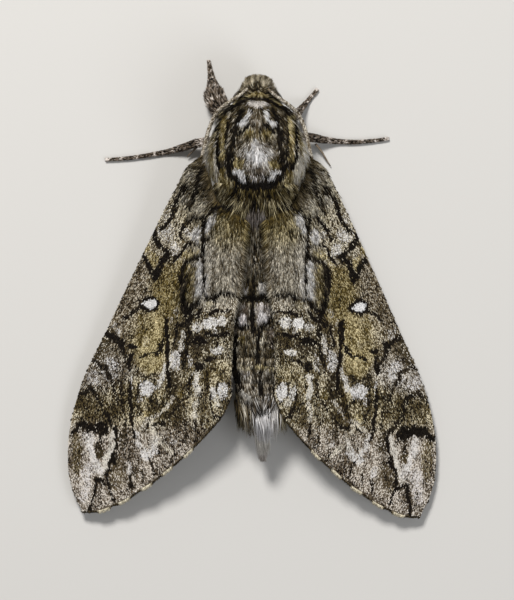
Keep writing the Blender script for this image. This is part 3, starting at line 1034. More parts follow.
def locked(lie, back, around, y, arc, long):  # the tips of one lock lean together
    i, j = np.floor(arc / lock["wide"]), np.floor(y / lock["deep"])
    across = (i + 0.2 + 0.6 * softNoise(i, j, 61)) * lock["wide"] - arc
    ahead = (j + 0.2 + 0.6 * softNoise(i, j, 62)) * lock["deep"] - y
    shift = lock["pull"] * (across[:, None] * around + 0.5 * ahead[:, None] * back) / long[:, None]
    return unitRows(lie + shift)


fur = {
    "length": [(-23.6, 0.6), (-21.5, 0.62), (-19.0, 0.68), (-17.5, 0.75), (-13.5, 0.78), (-12.0, 0.9),
               (-10.5, 1.3), (-8.0, 1.2), (-5.0, 0.85), (13.0, 0.9), (14.5, 1.5), (16.5, 2.1), (18.0, 1.7),
               (19.6, 0.8)],
    "width": [(-23.6, 0.08), (-20.0, 0.085), (-16.0, 0.09), (-8.0, 0.1), (14.0, 0.11), (19.6, 0.1)],
    "lift": [(-23.6, 16), (-20.0, 12), (-16.0, 12), (-8.0, 10), (13.0, 8), (15.0, 7), (19.6, 3)],
    "sweep": [(-24.5, 58), (-22.8, 52), (-21.5, 42), (-20.0, 26), (-18.0, 10), (-15.0, 2), (-13.0, -4),
              (-11.0, 14), (-9.0, 24), (-7.0, 10), (0.0, 4), (14.0, 0)],
    "brow": (-22.95, -20.65, 0.42, 1.45),  # from y, to y, and the angles that overhang the eye
    "browLength": 1.15,
    "eyeClearance": 1.38,
    "fan": {"from": -17.2, "to": -13.6, "half": 2.2, "centre": (0.15, -18.2), "spread": 1.2},  # on the chest
    "flank": {"angles": (0.75, 1.1, 1.7, 2.1), "from": (-21.5, -20.5), "to": (-14.0, -12.5), "longer": 0.35,
              "lift": 10},
}


def furAt(y, key):
    return np.interp(y, *zip(*fur[key]))


def flankStreak(y, angle):  # what the streaks of the flank add to tone and warmth
    gap = smoothStep(0.56, 0.40, softNoise(angle * 11, y / 1.5, 36))
    fine = vary(y, -0.5, 1.0)
    return columns(0.2 - 0.5 * gap + 0.3 * fine, 0.6 * gap + 0.25 * fine)


def browShare(y, angle):
    start, end, top, low = fur["brow"]
    inside = between(y, start, start + 0.3, end - 0.3, end)
    return inside * between(np.abs(angle), top, top + 0.15, low - 0.15, low)


def flankShare(y, angle):
    flank = fur["flank"]
    return between(np.abs(angle), *flank["angles"]) * between(y, *flank["from"], *flank["to"])


def bodyBatch(y, angle, span):
    spots = rootSpots(y, angle)
    outward, back, around = bodyFrame(y, angle)
    side, x = np.sign(angle), spots[:, 0] - middleAt(spots[:, 1])
    sweep = np.radians(furAt(spots[:, 1], "sweep")) * smoothStep(0.0, 0.5, np.abs(x)) * side
    fan, (fanX, fanY) = fur["fan"], fur["fan"]["centre"]
    fanned = (np.abs(x) < fan["half"]) & (spots[:, 1] > fan["from"]) & (spots[:, 1] < fan["to"])
    sweep = np.where(fanned, np.arctan2(x - fanX, spots[:, 1] - fanY) * fan["spread"], sweep)
    sweep = sweep + np.radians(22) * waver(x / 0.7, spots[:, 1] / 0.9, 31)
    long, wide = furAt(y, "length") * vary(y, 0.8, 0.4), furAt(y, "width") * vary(y, 0.8, 0.4)
    lie = unitRows(back * np.cos(sweep)[:, None] + around * np.sin(sweep)[:, None])
    flank = flankShare(y, angle)
    long *= 1 + fur["flank"]["longer"] * flank
    lie = locked(lie, back, around, y, angle * 3.4, long)
    rise = np.radians(furAt(y, "lift")) * vary(y, 0.6, 0.7) + np.radians(fur["flank"]["lift"]) * flank
    over, up = unitRows(columns(side * 0.85, 0.55, -0.1)), unitRows(columns(side * 0.2, 0.0, 1.0))
    overhang = (browShare(y, angle) > luck.random(len(y)))[:, None]
    lie, outward = np.where(overhang, over, lie), np.where(overhang, up, outward)
    long = np.where(overhang[:, 0], fur["browLength"] * vary(y, 0.8, 0.4), long)
    keep = np.ones(len(y), bool)
    for eyeSide in (1, -1):
        reach = lengths(spots - eyeSpot(eyeSide))
        keep &= reach > fur["eyeClearance"]
        long = np.where(overhang[:, 0], long, long * (0.45 + 0.55 * smoothStep(1.4, 2.0, reach)))
    marks = bodyMarks(tipOf(spots, lie, long, 0.72), outward[:, 2])
    marks[:, :2] += flankStreak(y, angle) * flank[:, None]
    size = columns(wide, long, 0.3 * wide)
    parts = batchOf(spots, outward, lie, size, rise, rootPatch(y, angle, span), marks)
    return {key: values[keep] for key, values in parts.items()}


# Extra hair: from y, to y, angles, gaps, and the width and thickness of each hair
mantleHair = {"from": -12.0, "to": -8.8, "angles": (-1.5, 1.5), "rowGap": 0.15, "gap": 0.12, "wide": 0.1,
              "thick": 0.035, "lift": 9, "sweep": 34, "tuftMarks": (0.62, 0.0, 0.7)}
backHair = {"from": -8.4, "to": 1.4, "angles": (-0.42, 0.42), "rowGap": 0.16, "gap": 0.13, "wide": 0.09,
            "thick": 0.03, "lift": 10, "warmer": 0.15}
flankHair = {"from": -20.1, "to": -13.0, "angles": (0.95, 1.75), "rowGap": 0.2, "gap": 0.13, "wide": 0.1,
             "thick": 0.03, "lift": 10, "length": 1.9, "out": 1.0}
faceHair = {"wide": 0.08, "thick": 0.03, "lift": 7}


def extraRoots(hair):
    return bodyRoots(hair["from"], hair["to"], hair["rowGap"], hair["gap"], *hair["angles"])


def hairSize(hair, long):
    return columns(hair["wide"], long, hair["thick"])


def mantleBatch(span):  # long hair from the rear of the chest, over the wing roots
    y, angle = extraRoots(mantleHair)
    spots, outward = rootSpots(y, angle), bodyFrame(y, angle)[0]
    x = spots[:, 0]
    sweep = np.radians(mantleHair["sweep"]) * smoothStep(0.4, 3.6, np.abs(x)) * np.sign(x)
    sweep = sweep + np.radians(26) * waver(x / 0.8, y / 0.9, 33)
    lie = unitRows(columns(np.sin(sweep), np.cos(sweep), -0.10 - 0.06 * np.abs(x)))
    up = unitRows(columns(0.1 * x, 0.0, 1.0))
    long = (1.2 + 0.9 * smoothStep(-11.0, -9.3, y)) * vary(y, 0.45, 0.85) * smoothStep(-13.4, -11.2, y)
    tip = tipOf(spots, lie, long)
    marks = bodyMarks(tip, outward[:, 2])
    winged = (np.abs(tip[:, 0]) > 0.9) & (tip[:, 1] > vary(y, -10.2, 0.5))
    marks[winged] = wingMarks(tip[winged], 1)
    end = tipOf(spots, lie, long, 1.0)  # the longest hairs make a rosy tuft where the wings meet
    rosy = smoothStep(-7.9, -7.5, end[:, 1]) * smoothStep(1.4, 0.9, np.abs(end[:, 0]))
    marks += 0.85 * rosy[:, None] * (np.array(mantleHair["tuftMarks"]) - marks)
    lift = np.radians(mantleHair["lift"]) * vary(y, 0.4, 1.0)
    return batchOf(spots, up, lie, hairSize(mantleHair, long), lift, rootPatch(y, angle, span), marks)


def backBatch(span):  # loose hair on the back between the wings
    y, angle = extraRoots(backHair)
    spots = rootSpots(y, angle)
    x, fade = spots[:, 0], smoothStep(backHair["to"], -3.0, y)
    lie = unitRows(columns(0.5 * waver(x / 0.5, y / 0.7, 39) + 0.12 * x, 1.0, 0.22 * fade))
    long = (0.6 + 0.9 * fade) * vary(y, 0.7, 0.6)
    marks = bodyMarks(tipOf(spots, lie, long), 0.8)
    marks[:, 1] += backHair["warmer"]
    size, lift = hairSize(backHair, long), np.radians(backHair["lift"]) * luck.random(len(y))
    return batchOf(spots, (0.0, 0.0, 1.0), lie, size, lift, rootPatch(y, angle, span), marks)


def flankBatch(side, span):  # long pale hair that stands out over the wing roots and hides the feelers there
    y, angle = extraRoots(flankHair)
    angle = side * angle
    spots, outward = rootSpots(y, angle), bodyFrame(y, angle)[0]
    out = flankHair["out"] * (0.35 + 1.1 * softNoise(y / 0.7, angle * 6, 35))
    out = out * smoothStep(flankHair["to"], -15.5, y)
    lie = unitRows(columns(side * out, 1.0, -0.25))
    ends = between(y, flankHair["from"], -19.0, -13.6, -12.6)
    long = flankHair["length"] * (0.45 + 0.55 * ends) * vary(y, 0.7, 0.5)
    marks = bodyMarks(tipOf(spots, lie, long), 0.8)
    marks[:, :2] += flankStreak(y, angle)
    lift = np.radians(flankHair["lift"]) * vary(y, 0.4, 1.0)
    return batchOf(spots, outward, lie, hairSize(flankHair, long), lift, rootPatch(y, angle, span), marks)


def palpBatch(side):  # short hair that lies along the palps
    rings = limbRings(limbs["palp_left" if side > 0 else "palp_right"], 60)
    share, turn = np.meshgrid(np.linspace(0.2, 0.99, 62), np.linspace(0, 2 * np.pi, 38, endpoint=False))
    share = share.ravel() + 0.01 * luck.random(share.size)
    turn = turn.ravel() + 0.1 * luck.random(turn.size)
    spots, outward, ahead = limbSurface(rings, share, turn, limbDepth + 0.03)
    want = np.array([side * 0.45, 0.5, 0.1])
    lie = unitRows(0.6 * ahead + want - (outward @ want)[:, None] * outward)
    long = 0.5 * vary(share, 0.7, 0.6)
    marks = bodyMarks(tipOf(spots, lie, long, 0.7), 0.6) * [0.75, 1, 1]
    spot = columns(0.02 + 0.3 * share + (0.35 if side > 0 else 0.0), 0.01 + 0.1 * turn / 7)
    return batchOf(spots, outward, lie, hairSize(faceHair, long), np.radians(10), spot, marks)


crest = {"from": -23.93, "to": -22.7, "reach": -24.74, "round": 0.2, "lean": -0.14, "spread": 0.02,
         "angle": 1.5, "count": 3200}
cheek = {"from": -23.5, "to": -21.0, "length": 1.05, "count": 2300}
beard = {"from": -23.92, "deep": 1.9, "angle": 1.5, "round": 1.6, "longest": 1.9, "count": 900}


def forwardHair(y, angle, lie, long, row):  # hair of the head that points forward or sideways
    spots, outward = rootSpots(y, angle), bodyFrame(y, angle)[0]
    outward = unitRows(outward - (outward * lie).sum(1, keepdims=True) * lie)
    marks = bodyMarks(tipOf(spots, lie, long), 0.6)
    spot = columns(vary(y, 0.02, 0.3), vary(y, row, 0.1))
    lift = np.radians(faceHair["lift"]) * vary(y, 0.3, 1.0)
    return batchOf(spots, outward, lie, hairSize(faceHair, long), lift, spot, marks)


def crestBatch():  # hair that stands forward over the face and ends in a rounded edge
    y = crest["from"] + (crest["to"] - crest["from"]) * luck.random(crest["count"]) ** 1.6
    angle = crest["angle"] * (2 * luck.random(len(y)) - 1)
    spots = rootSpots(y, angle)
    x, down = spots[:, 0], smoothStep(0.9, 1.9, np.abs(angle))
    sway = crest["spread"] * x + crest["lean"] + 0.9 * waver(x / 0.3, y / 0.25, 41)
    lie = unitRows(columns(sway, -1.0, 0.02 - 0.35 * down))
    reach = crest["reach"] + crest["round"] * x**2
    long = np.clip((spots[:, 1] - reach) / 0.92, 0.3, 0.9) * vary(y, 0.75, 0.33)
    return forwardHair(y, angle, lie, long, 0.12)


def cheekBatch(side):  # hair from the brow to the crest, over the feeler's root and the top of the eye
    y = cheek["from"] + (cheek["to"] - cheek["from"]) * luck.random(cheek["count"])
    angle = side * vary(y, 0.3, 1.3)
    back = smoothStep(cheek["from"], cheek["to"], y)
    sideways = side * (0.42 + 0.6 * back) + crest["lean"] + 0.3 * waver(y / 0.3, angle * 4, 38)
    lie = unitRows(columns(sideways, -1.1 + 0.9 * back, 0.12 - 0.1 * np.abs(angle)))
    long = cheek["length"] * vary(y, 0.6, 0.5)
    return forwardHair(y, angle, lie, long, 0.3 if side > 0 else 0.45)


def beardBatch(side):  # hair that hangs from the face to the palp under it
    y = beard["from"] + beard["deep"] * luck.random(beard["count"])
    angle = side * vary(y, beard["angle"], beard["round"])
    spots = rootSpots(y, angle)
    reach = columns(side * 0.95 - 0.7 * spots[:, 0], -0.1 - 0.3 * luck.random(len(y)), 3.2 - spots[:, 2])
    long = np.clip(lengths(reach), 0.4, beard["longest"]) * vary(y, 0.55, 0.45)
    return forwardHair(y, angle, unitRows(reach), long, 0.6 if side > 0 else 0.75)


tail = {  # tufts of the tail: start, end, spread at the start, how many hairs, tone, warmth
    "tufts": [
        ((-2.9, 12.6, 4.6), (-3.5, 16.9, 3.4), 0.3, 330, 0.50, 0.7),
        ((1.45, 12.5, 4.6), (1.15, 16.7, 3.4), 0.3, 420, 0.40, 0.7),
        ((-2.2, 13.4, 5.2), (-2.3, 17.6, 3.9), 0.35, 480, 0.95, 0.1),
        ((0.5, 13.4, 5.2), (-0.1, 17.3, 3.9), 0.35, 480, 0.46, 0.4),
        ((-1.2, 13.6, 5.5), (-1.4, 18.0, 4.2), 0.5, 900, 1.15, 0.0),
        ((-1.1, 15.4, 4.9), (-1.35, 19.7, 3.75), 0.35, 420, 0.95, 0.2),
        ((-0.95, 12.8, 5.85), (-1.1, 15.2, 5.35), 0.65, 520, 0.32, 0.1),
    ],
    "wide": 0.12,
    "thick": 0.03,
    "lift": 3,
}


def tailBatch(n, start, end, spread, count, tone, warm):
    off = luck.normal(size=(count, 3)) * [spread, 0.5, 0.16]
    off[:, 1] = np.clip(off[:, 1], -0.8, 1.4)
    spots = np.array(start) + off
    aim = np.array(end) + off * [0.3, 0.3, 0.5] - spots
    long = lengths(aim) * vary(aim, 0.6, 0.4)
    field = np.tile([tone, warm, 0.1, 0.55], (count, 1))
    marks = speckled(field, softNoise(off[:, 0] * 7, off[:, 1], 90 + n), luck.random(count), 1.1)
    spot = columns(0.1 + 0.11 * n + 0.05 * luck.random(count), vary(aim, 0.9, 0.08))
    size, lift = hairSize(tail, long), np.radians(tail["lift"]) * luck.random(count)
    return batchOf(spots, (0.0, 0.1, 1.0), unitRows(aim), size, lift, spot, marks)


# Coats of the body: from y, to y, the angle where the close rows end, gaps above and below it, and a seed
furCoats = {
    "head": ((-23.95, -18.7), 2.2, (0.085, 0.07), (0.10, 0.10), 3),
    "chest": ((-18.7, -8.4), 1.75, (0.105, 0.085), (0.15, 0.15), 4),
    "abdomen": ((-8.4, 19.55), 1.3, (0.13, 0.11), (0.26, 0.26), 5),
}
neck = {"span": (-23.95, -18.5), "from": -20.9, "to": -18.5, "gaps": (0.07, 0.13), "angle": 0.95}


def makeFur(name, others):
    span, topReach, topGaps, lowGaps, seed = furCoats[name]
    batches = list(others)
    for low, high, gaps in ((-topReach, topReach, topGaps), (topReach, 2 * np.pi - topReach, lowGaps)):
        y, angle = bodyRoots(*span, *gaps, low, high)
        angle = np.where(angle > np.pi, angle - 2 * np.pi, angle)
        batches.append(bodyBatch(y, angle, span))
    return growCoat(name + "_coat", batches, hairs, finishes["bodyFur"], 0.15, seed)


faceFur = [palpBatch(1), palpBatch(-1), crestBatch(), cheekBatch(1), cheekBatch(-1), beardBatch(1),
           beardBatch(-1)]
for low, high in ((neck["angle"], np.pi), (-np.pi, -neck["angle"])):  # a steep front needs closer rows
    roots = bodyRoots(neck["from"], neck["to"], *neck["gaps"], low, high)
    faceFur.append(bodyBatch(*roots, neck["span"]))
coats = [makeFur("head", faceFur)]
chestFur = [mantleBatch(furCoats["chest"][0]), flankBatch(1, (-20.0, -8.4)), flankBatch(-1, (-20.0, -8.4))]
coats.append(makeFur("chest", chestFur))
tailFur = [tailBatch(n, *tuft) for n, tuft in enumerate(tail["tufts"])]
coats.append(makeFur("abdomen", [*tailFur, backBatch(furCoats["abdomen"][0])]))


limbCoat = {"rowGap": 0.15, "gap": 0.13, "bare": 0.8, "wide": 0.15,
            "bands": [0.30, 0.52, 0.66, 0.78, 0.89, 0.99]}  # pale rings, as shares of the leg


def legMarks(share, spots, seed):
    near = np.min(np.abs(share[:, None] - limbCoat["bands"]), axis=1)
    field = np.tile([0.26, 0.45, 0.65, 0.58], (len(share), 1))
    field[:, 0] += 0.42 * np.exp(-((near / 0.013) ** 2)) + 0.3 * smoothStep(0.93, 0.98, share)
    return speckled(field, softNoise(share * 40, spots[:, 2], seed), luck.random(len(share)))


def legBatch(n, name):
    rings = limbRings(limbs[name], 90)
    ringShares, radii = np.linspace(0, 1, 90), rings[0][:, 3]
    length = limbLength(rings)
    rows = int(length / limbCoat["rowGap"])
    shares, turns = [], []
    for i in range(rows):
        share = (i + 0.5) / rows
        if share * length < limbCoat["bare"]:
            continue
        count = max(7, int(2 * np.pi * np.interp(share, ringShares, radii) / limbCoat["gap"]))
        shares.append(np.full(count, share))
        turns.append(2 * np.pi * (np.arange(count) + 0.5 * (i % 2)) / count)
    share, turn = np.concatenate(shares), np.concatenate(turns)
    spots, outward, ahead = limbSurface(rings, share, turn, limbDepth + 0.02)
    radius = np.interp(share, ringShares, radii)
    long = np.clip(0.24 + 0.5 * radius, 0.3, 0.85) * vary(share, 0.8, 0.4)
    size = columns(limbCoat["wide"], long, 0.2 * limbCoat["wide"])
    spot = columns(share * 0.99, (n + 0.05 + 0.9 * turn / (2 * np.pi)) / len(legNames))
    lift = np.radians(9 + 12 * smoothStep(0.7, 1.1, radius)) * vary(share, 0.6, 0.8)
    return batchOf(spots, outward, ahead, size, lift, spot, legMarks(share, spots, 40 + n))


legFur = [legBatch(n, name) for n, name in enumerate(legNames)]
coats.append(growCoat("leg_coat", legFur, scales, finishes["legScales"], 0.14, 6))

# Spurs of the shins, and the claws
spurPaths = [
    [(-6.9, -17.0, 1.3, 0.15), (-7.5, -16.3, 0.95, 0.13), (-8.1, -15.4, 0.6, 0.1), (-8.7, -14.5, 0.36, 0.05)],
    [(7.0, -16.5, 1.3, 0.14), (7.6, -15.9, 0.95, 0.12), (8.2, -15.3, 0.6, 0.05)],
]
for sign in (1, -1):  # a pair at the end of each hind shin
    for off in (-0.25, 0.25):
        spurPaths.append([(sign * (8.45 + off), -1.6, 0.6, 0.12), (sign * (8.7 + 1.5 * off), -0.8, 0.45, 0.1),
                          (sign * (8.9 + 2 * off), 0.0, 0.25, 0.04)])
claw = {"long": 0.36, "apart": 0.16, "thick": 0.055, "colour": (0.035, 0.018, 0.010),
        "bends": [(-0.35, 0.35, 0.17), (0.2, 0.9, 0.17), (0.6, 1.1, 0.13), (0.85, 0.95, 0.07)]}


def clawPaths():
    paths = []
    for name in legNames:
        a, b = np.array(limbs[name][-2][:3]), np.array(limbs[name][-1][:3])
        ahead = (b - a) / np.linalg.norm(b - a)
        aside = np.array([-ahead[1], ahead[0], 0.0])
        for side in (1, -1):
            path = []
            for share, out, z in claw["bends"]:
                spot = b + ahead * share * claw["long"] + aside * side * out * claw["apart"]
                path.append((spot[0], spot[1], z, claw["thick"] * (1.0 - 0.75 * max(share, 0.0))))
            paths.append(path)
    return paths


def hornFinish():
    material, tree, shader = newFinish("claw")
    place = newNode(tree, "ShaderNodeTexCoord").outputs["Object"]
    cloud = newNode(tree, "ShaderNodeTexNoise", {"Vector": place, "Scale": 4000})
    ramp = newNode(tree, "ShaderNodeValToRGB", {"Fac": cloud.outputs["Fac"]})
    ramp.color_ramp.elements[0].color = (*claw["colour"], 1.0)
    ramp.color_ramp.elements[1].color = (*[3 * value for value in claw["colour"]], 1.0)
    feed(shader, {"Roughness": 0.34, "Base Color": ramp.outputs["Color"]})
    return material


def smallTubes(name, paths, sides, material):
    spots, faces = [], []
    for path in paths:
        faces += [[corner + sum(map(len, spots)) for corner in face] for face in loftFaces(12, sides)]
        spots.append(tubeSpots(limbRings(path, 12), sides, 0.0))
    piece = newPiece(name, np.concatenate(spots), faces, material)
    outwardFaces(piece)
    piece.data.shade_smooth()
    return piece


claws = smallTubes("leg_claws", clawPaths(), 8, hornFinish())
spurPiece = smallTubes("leg_spurs", spurPaths, 10, finishes["legScales"])
spots = readPoints(spurPiece.data)[0]
spurField = np.tile([0.5, 0.4, 0.5, 0.6], (len(spots), 1))
markSkin(spurPiece.data, speckled(spurField, softNoise(spots[:, 0] * 5, spots[:, 1] * 5, 52), None))
for piece in (claws, spurPiece):
    keepInside(piece.data)

# Wings: costa, termen, inner edge and root in plan, as in the solids
wingEdges = {
    "fore": (
        [(5.6, -15.7), (7.7, -14.2), (9.7, -10.8), (13.4, -3.2), (17.0, 4.6), (20.35, 12.2), (21.6, 18.0),
         (21.45, 22.6), (19.85, 27.15)],
        [(19.85, 27.15), (17.1, 26.65), (13.3, 24.6), (9.2, 21.4), (5.5, 17.75), (3.4, 15.1), (2.5, 12.9)],
        [(1.25, -8.0), (1.75, -2.0), (2.15, 3.0), (2.4, 8.0), (2.5, 12.9)],
        [(5.6, -15.7), (5.3, -12.6), (4.2, -9.7), (1.25, -8.0)],
    ),
    "hind": (
        [(5.9, -12.4), (8.6, -8.4), (12.6, -1.0), (15.8, 6.5), (16.9, 13.0)],
        [(16.9, 13.0), (14.0, 16.2), (9.6, 15.6), (6.2, 12.8), (4.7, 9.0)],
        [(5.0, -8.4), (4.7, -3.0), (4.6, 3.0), (4.7, 9.0)],
        [(5.9, -12.4), (5.6, -10.4), (5.0, -8.4)],
    ),
}
wing = {
    "ridge": [(-16.0, 11.3), (-8.0, 9.9), (0.0, 8.9), (13.0, 7.5), (27.0, 4.9)],
    "eaves": [(-16.0, 5.6), (-12.0, 4.4), (-8.0, 3.4), (0.0, 2.4), (10.0, 1.7), (27.0, 1.3)],
    "bend": 1.4,
    "coatDepth": 0.15,
    "solidThickness": {"fore": 0.55, "hind": 0.5},
    "drop": {"fore": 0.0, "hind": 0.85},
    "scallops": 6,
    "scallopDepth": 0.22,
    "cell": 0.46,  # where the middle cell ends, as a share of the way from root to termen
    "veinEnds": [0.03, 0.17, 0.31, 0.46, 0.6, 0.73, 0.86],  # share along the termen from the tip
    "veinRise": 0.09,
    "fringe": 0.42,
    "lastScale": 0.72,
    "scaleThickness": 0.028,
    "underMarks": (0.30, 0.4, 0.2),
}


def heightAt(levels, y):
    ys, zs = zip(*levels)
    return np.mean([np.interp(y + reach, ys, zs) for reach in (-2, -1, 0, 1, 2)], axis=0)


def roofHeight(x, y):
    costa = wingEdges["fore"][0][:-2]
    reach = np.interp(y, [p[1] for p in costa], [p[0] for p in costa])
    ridge, eaves = heightAt(wing["ridge"], y), heightAt(wing["eaves"], y)
    return eaves + (ridge - eaves) * (1 - np.minimum(np.abs(x) / reach, 1.0) ** wing["bend"])


def wingPlan(kind, u, v):
    costa, termen, inner, root = wingEdges[kind]
    c, i = curveThrough(costa, u), curveThrough(inner, u)
    r, t = curveThrough(root, v), curveThrough(termen, v)
    u, v = np.atleast_1d(u)[:, None], np.atleast_1d(v)[:, None]
    corners = (1 - u) * (1 - v) * np.array(costa[0]) + u * (1 - v) * np.array(costa[-1])
    corners = corners + (1 - u) * v * np.array(inner[0]) + u * v * np.array(inner[-1])
    return (1 - v) * c + v * i + (1 - u) * r + u * t - corners


def veinRise(u, v):  # veins run from the middle cell to the hind edge, and the cell has an edge of its own
    rise = np.zeros(len(u))
    cell = wing["cell"]
    for end in wing["veinEnds"]:
        start = 0.30 + 0.32 * end
        line = np.where(u > cell, start + (end - start) * (u - cell) / (1 - cell), start)
        rise += np.exp(-(((v - line) / 0.014) ** 2)) * smoothStep(cell - 0.05, cell + 0.04, u)
    for line in (0.27, 0.62):
        rise += np.exp(-(((v - line) / 0.016) ** 2)) * smoothStep(cell + 0.05, cell - 0.02, u)
    return wing["veinRise"] * np.minimum(rise, 1.0)


def wingSurface(kind, side, u, v, level):  # level is how far the point lies under the solid's upper face
    plan = wingPlan(kind, u, v)
    if kind == "fore":
        wave = 1 - np.abs(np.sin(np.pi * wing["scallops"] * v))
        share = np.clip((u - 17 / 18) * 18, 0, 1) * wave * wing["scallopDepth"]
        plan = plan - np.stack([0.5 * share, share], 1)
    z = roofHeight(plan[:, 0], plan[:, 1]) - wing["drop"][kind] - level
    if kind == "fore":
        z = z + veinRise(u, v) - 0.03
    return np.stack([side * plan[:, 0], plan[:, 1], z], 1)


def wingFrame(kind, side, u, v, level):
    step = 0.002
    back = wingSurface(kind, side, u + step, v, level) - wingSurface(kind, side, u - step, v, level)
    out = wingSurface(kind, side, u, v + step, level) - wingSurface(kind, side, u, v - step, level)
    outward = unitRows(np.cross(back, out))
    return outward * np.sign(outward[:, 2:]), unitRows(back)


def wingReach(kind, v):  # how long the wing is from root to hind edge along each line
    v = np.atleast_1d(v)
    at = [wingPlan(kind, np.full(len(v), u), v) for u in (0.0, 0.33, 0.66, 1.0)]
    return sum(lengths(b - a) for a, b in zip(at[:-1], at[1:]))


def makeMembrane(name, kind, side, across, rows):
    u, v = np.linspace(0.0, 1.0, across + 1), np.linspace(0.004, 0.985, rows + 1)
    vv = np.tile(v, across + 1)
    uu = np.repeat(u, rows + 1) * (1 - wing["fringe"] / wingReach(kind, vv))
    edge = np.minimum(smoothStep(0.0, 0.03, vv), smoothStep(1.0, 0.9, uu)) * smoothStep(1.0, 0.95, vv)
    thick = 0.07 + (wing["solidThickness"][kind] - wing["coatDepth"] - 0.17) * edge
    level = wing["coatDepth"] + 0.05
    top, low = wingSurface(kind, side, uu, vv, level), wingSurface(kind, side, uu, vv, level + thick)
    count, width = len(top), rows + 1
    faces = []
    for i in range(across):
        for j in range(rows):
            a = i * width + j
            faces.append([a, a + 1, a + width + 1, a + width])
            faces.append([count + a, count + a + width, count + a + width + 1, count + a + 1])
    rim = list(range(width)) + [i * width + rows for i in range(1, across + 1)]
    rim += [across * width + j for j in range(rows - 1, -1, -1)]
    rim += [i * width for i in range(across - 1, 0, -1)]
    for a, b in zip(rim, rim[1:] + rim[:1]):
        faces.append([a, b, count + b, count + a])
    piece = newPiece(name, np.concatenate([top, low]), faces, finishes["wingMembrane"])
    outwardFaces(piece)
    marks = wingMarks(readPoints(piece.data)[0], side, scales=False)
    marks[:count, 0] *= 0.25 + 0.75 * smoothStep(0.0, 0.03, uu) * smoothStep(0.985, 0.93, vv)
    marks[count:] = wing["underMarks"]
    markSkin(piece.data, marks)
    return piece


def wingRoots(kind, uFrom, uTo, rowGap, gap):
    length = wingReach(kind, np.linspace(0, 1, 40)).max()
    us, vs = [], []
    for i, u in enumerate(np.arange(uFrom, uTo, rowGap / length)):
        ends = wingPlan(kind, np.full(8, u), np.linspace(0.0, 1.0, 8))
        count = max(8, int(lengths(np.diff(ends, axis=0)).sum() / gap))
        us.append(np.full(count, u))
        vs.append((np.arange(count) + 0.25 + 0.5 * (i % 2)) / count)
    u, v = np.concatenate(us), np.concatenate(vs)
    reach = wingReach(kind, v)
    keep = (luck.random(len(u)) < 1.05 * reach / length) & (u < 1 - wing["lastScale"] / reach)
    u = u + 0.6 * rowGap / length * vary(u, -0.5, 1.0)
    v = v + 0.4 * gap / 14 * vary(v, -0.5, 1.0)
    return np.clip(u, 0.002, 1)[keep], np.clip(v, 0.003, 0.99)[keep]


def hairiness(u, v):  # hair in place of scales, over the inner half near the body
    return np.maximum(smoothStep(0.44, 0.33, u) * smoothStep(0.42, 0.55, v), smoothStep(0.15, 0.06, u))


def wingBatch(kind, side, u, v, long, wide, under=False):
    level = wing["solidThickness"][kind] - 0.17 if under else wing["coatDepth"] + 0.07
    spots = wingSurface(kind, side, u, v, level)
    outward, lie = wingFrame(kind, side, u, v, level)
    size = columns(wide * vary(u, 0.8, 0.4), long * vary(u, 0.75, 0.5), wing["scaleThickness"])
    if under:
        outward = -outward
        field = np.tile([0.46, 0.4, 0.25, 0.6], (len(u), 1))
        marks = speckled(field, softNoise(u * 30, v * 8, 51), luck.random(len(u)))
    else:
        marks = wingMarks(tipOf(spots, lie, size[:, 1], 0.75), side)
    lift = np.radians(7) * vary(u, 0.4, 1.2)
    return batchOf(spots, outward, lie, size, lift, columns(u * 0.99, v * 0.99), marks)


def wingCoat(name, kind, side, uFrom, uTo, rowGap, gap, long, wide, under=False):
    u, v = wingRoots(kind, uFrom, uTo, rowGap, gap)
    if kind == "fore" and not under:
        bare = luck.random(len(u)) > hairiness(u, v)
        u, v = u[bare], v[bare]
    batch = wingBatch(kind, side, u, v, long, wide, under)
    return growCoat(name, [batch], scales, finishes["wingScales"], 0.13, 8 if side > 0 else 9)


def wingHair(name, side):
    u, v = wingRoots("fore", 0.002, 0.46, 0.09, 0.07)
    hairy = luck.random(len(u)) < hairiness(u, v)
    u, v = u[hairy], v[hairy]
    field = wingBatch("fore", side, u, v, 0.9, 0.07)
    inward = smoothStep(0.75, 1.0, v) * 0.45 + 0.35 * waver(u * 60, v * 20, 71)
    field["lie"] = unitRows(field["lie"] + inward[:, None] * np.array([-side, 0.0, 0.2]))
    field["lift"] = np.radians(9) * vary(u, 0.4, 1.0)
    tone = field["marks"][:, 0]
    tone += 0.55 * waver(u * 31, v * 56, 72) + 0.3 * vary(u, -0.5, 1.0)
    tone[:] = np.clip(tone, 0.0, 1.0)
    tone *= 0.5 + 0.5 * smoothStep(0.0, 0.07, u)
    tone *= 0.75 + 0.25 * smoothStep(0.99, 0.9, v)
    edge = innerEdgeHair(side)
    return growCoat(name, [field, edge], hairs, finishes["wingScales"], 0.16, 14)


def innerEdgeHair(side):  # longer hair that leans from the wing's inner edge towards the body
    u = np.repeat(np.linspace(0.004, 0.75, 620), 3)
    v = np.full(len(u), 0.985) - 0.01 * luck.random(len(u))
    edge = wingBatch("fore", side, u, v, 1.0, 0.09)
    lean = (1.25 * smoothStep(0.62, 0.3, u) + 0.25)[:, None]
    edge["lie"] = unitRows(edge["lie"] + lean * np.array([-side, 0.0, -0.12]))
    edge["size"][:, 1] *= 0.45 + 0.75 * smoothStep(0.6, 0.3, u)
    tip = tipOf(edge["at"], edge["lie"], edge["size"][:, 1], 0.3)
    edge["marks"] = wingMarks(columns(np.abs(tip[:, 0]) + 0.3, tip[:, 1]), side)
    edge["marks"][:, 0] *= 0.7 + 0.3 * smoothStep(0.3, 0.55, u)
    return edge


fringe = {
    "rows": [(0.24, 0.62, 0.55), (0.3, 0.52, 0.55), (0.38, 0.5, 0.5)],  # level, way in from the edge, length
    "perRow": 520,
    "paleAt": [(7.35, 19.3), (9.85, 21.5), (12.3, 23.35), (14.9, 25.05), (17.35, 26.2)],
}


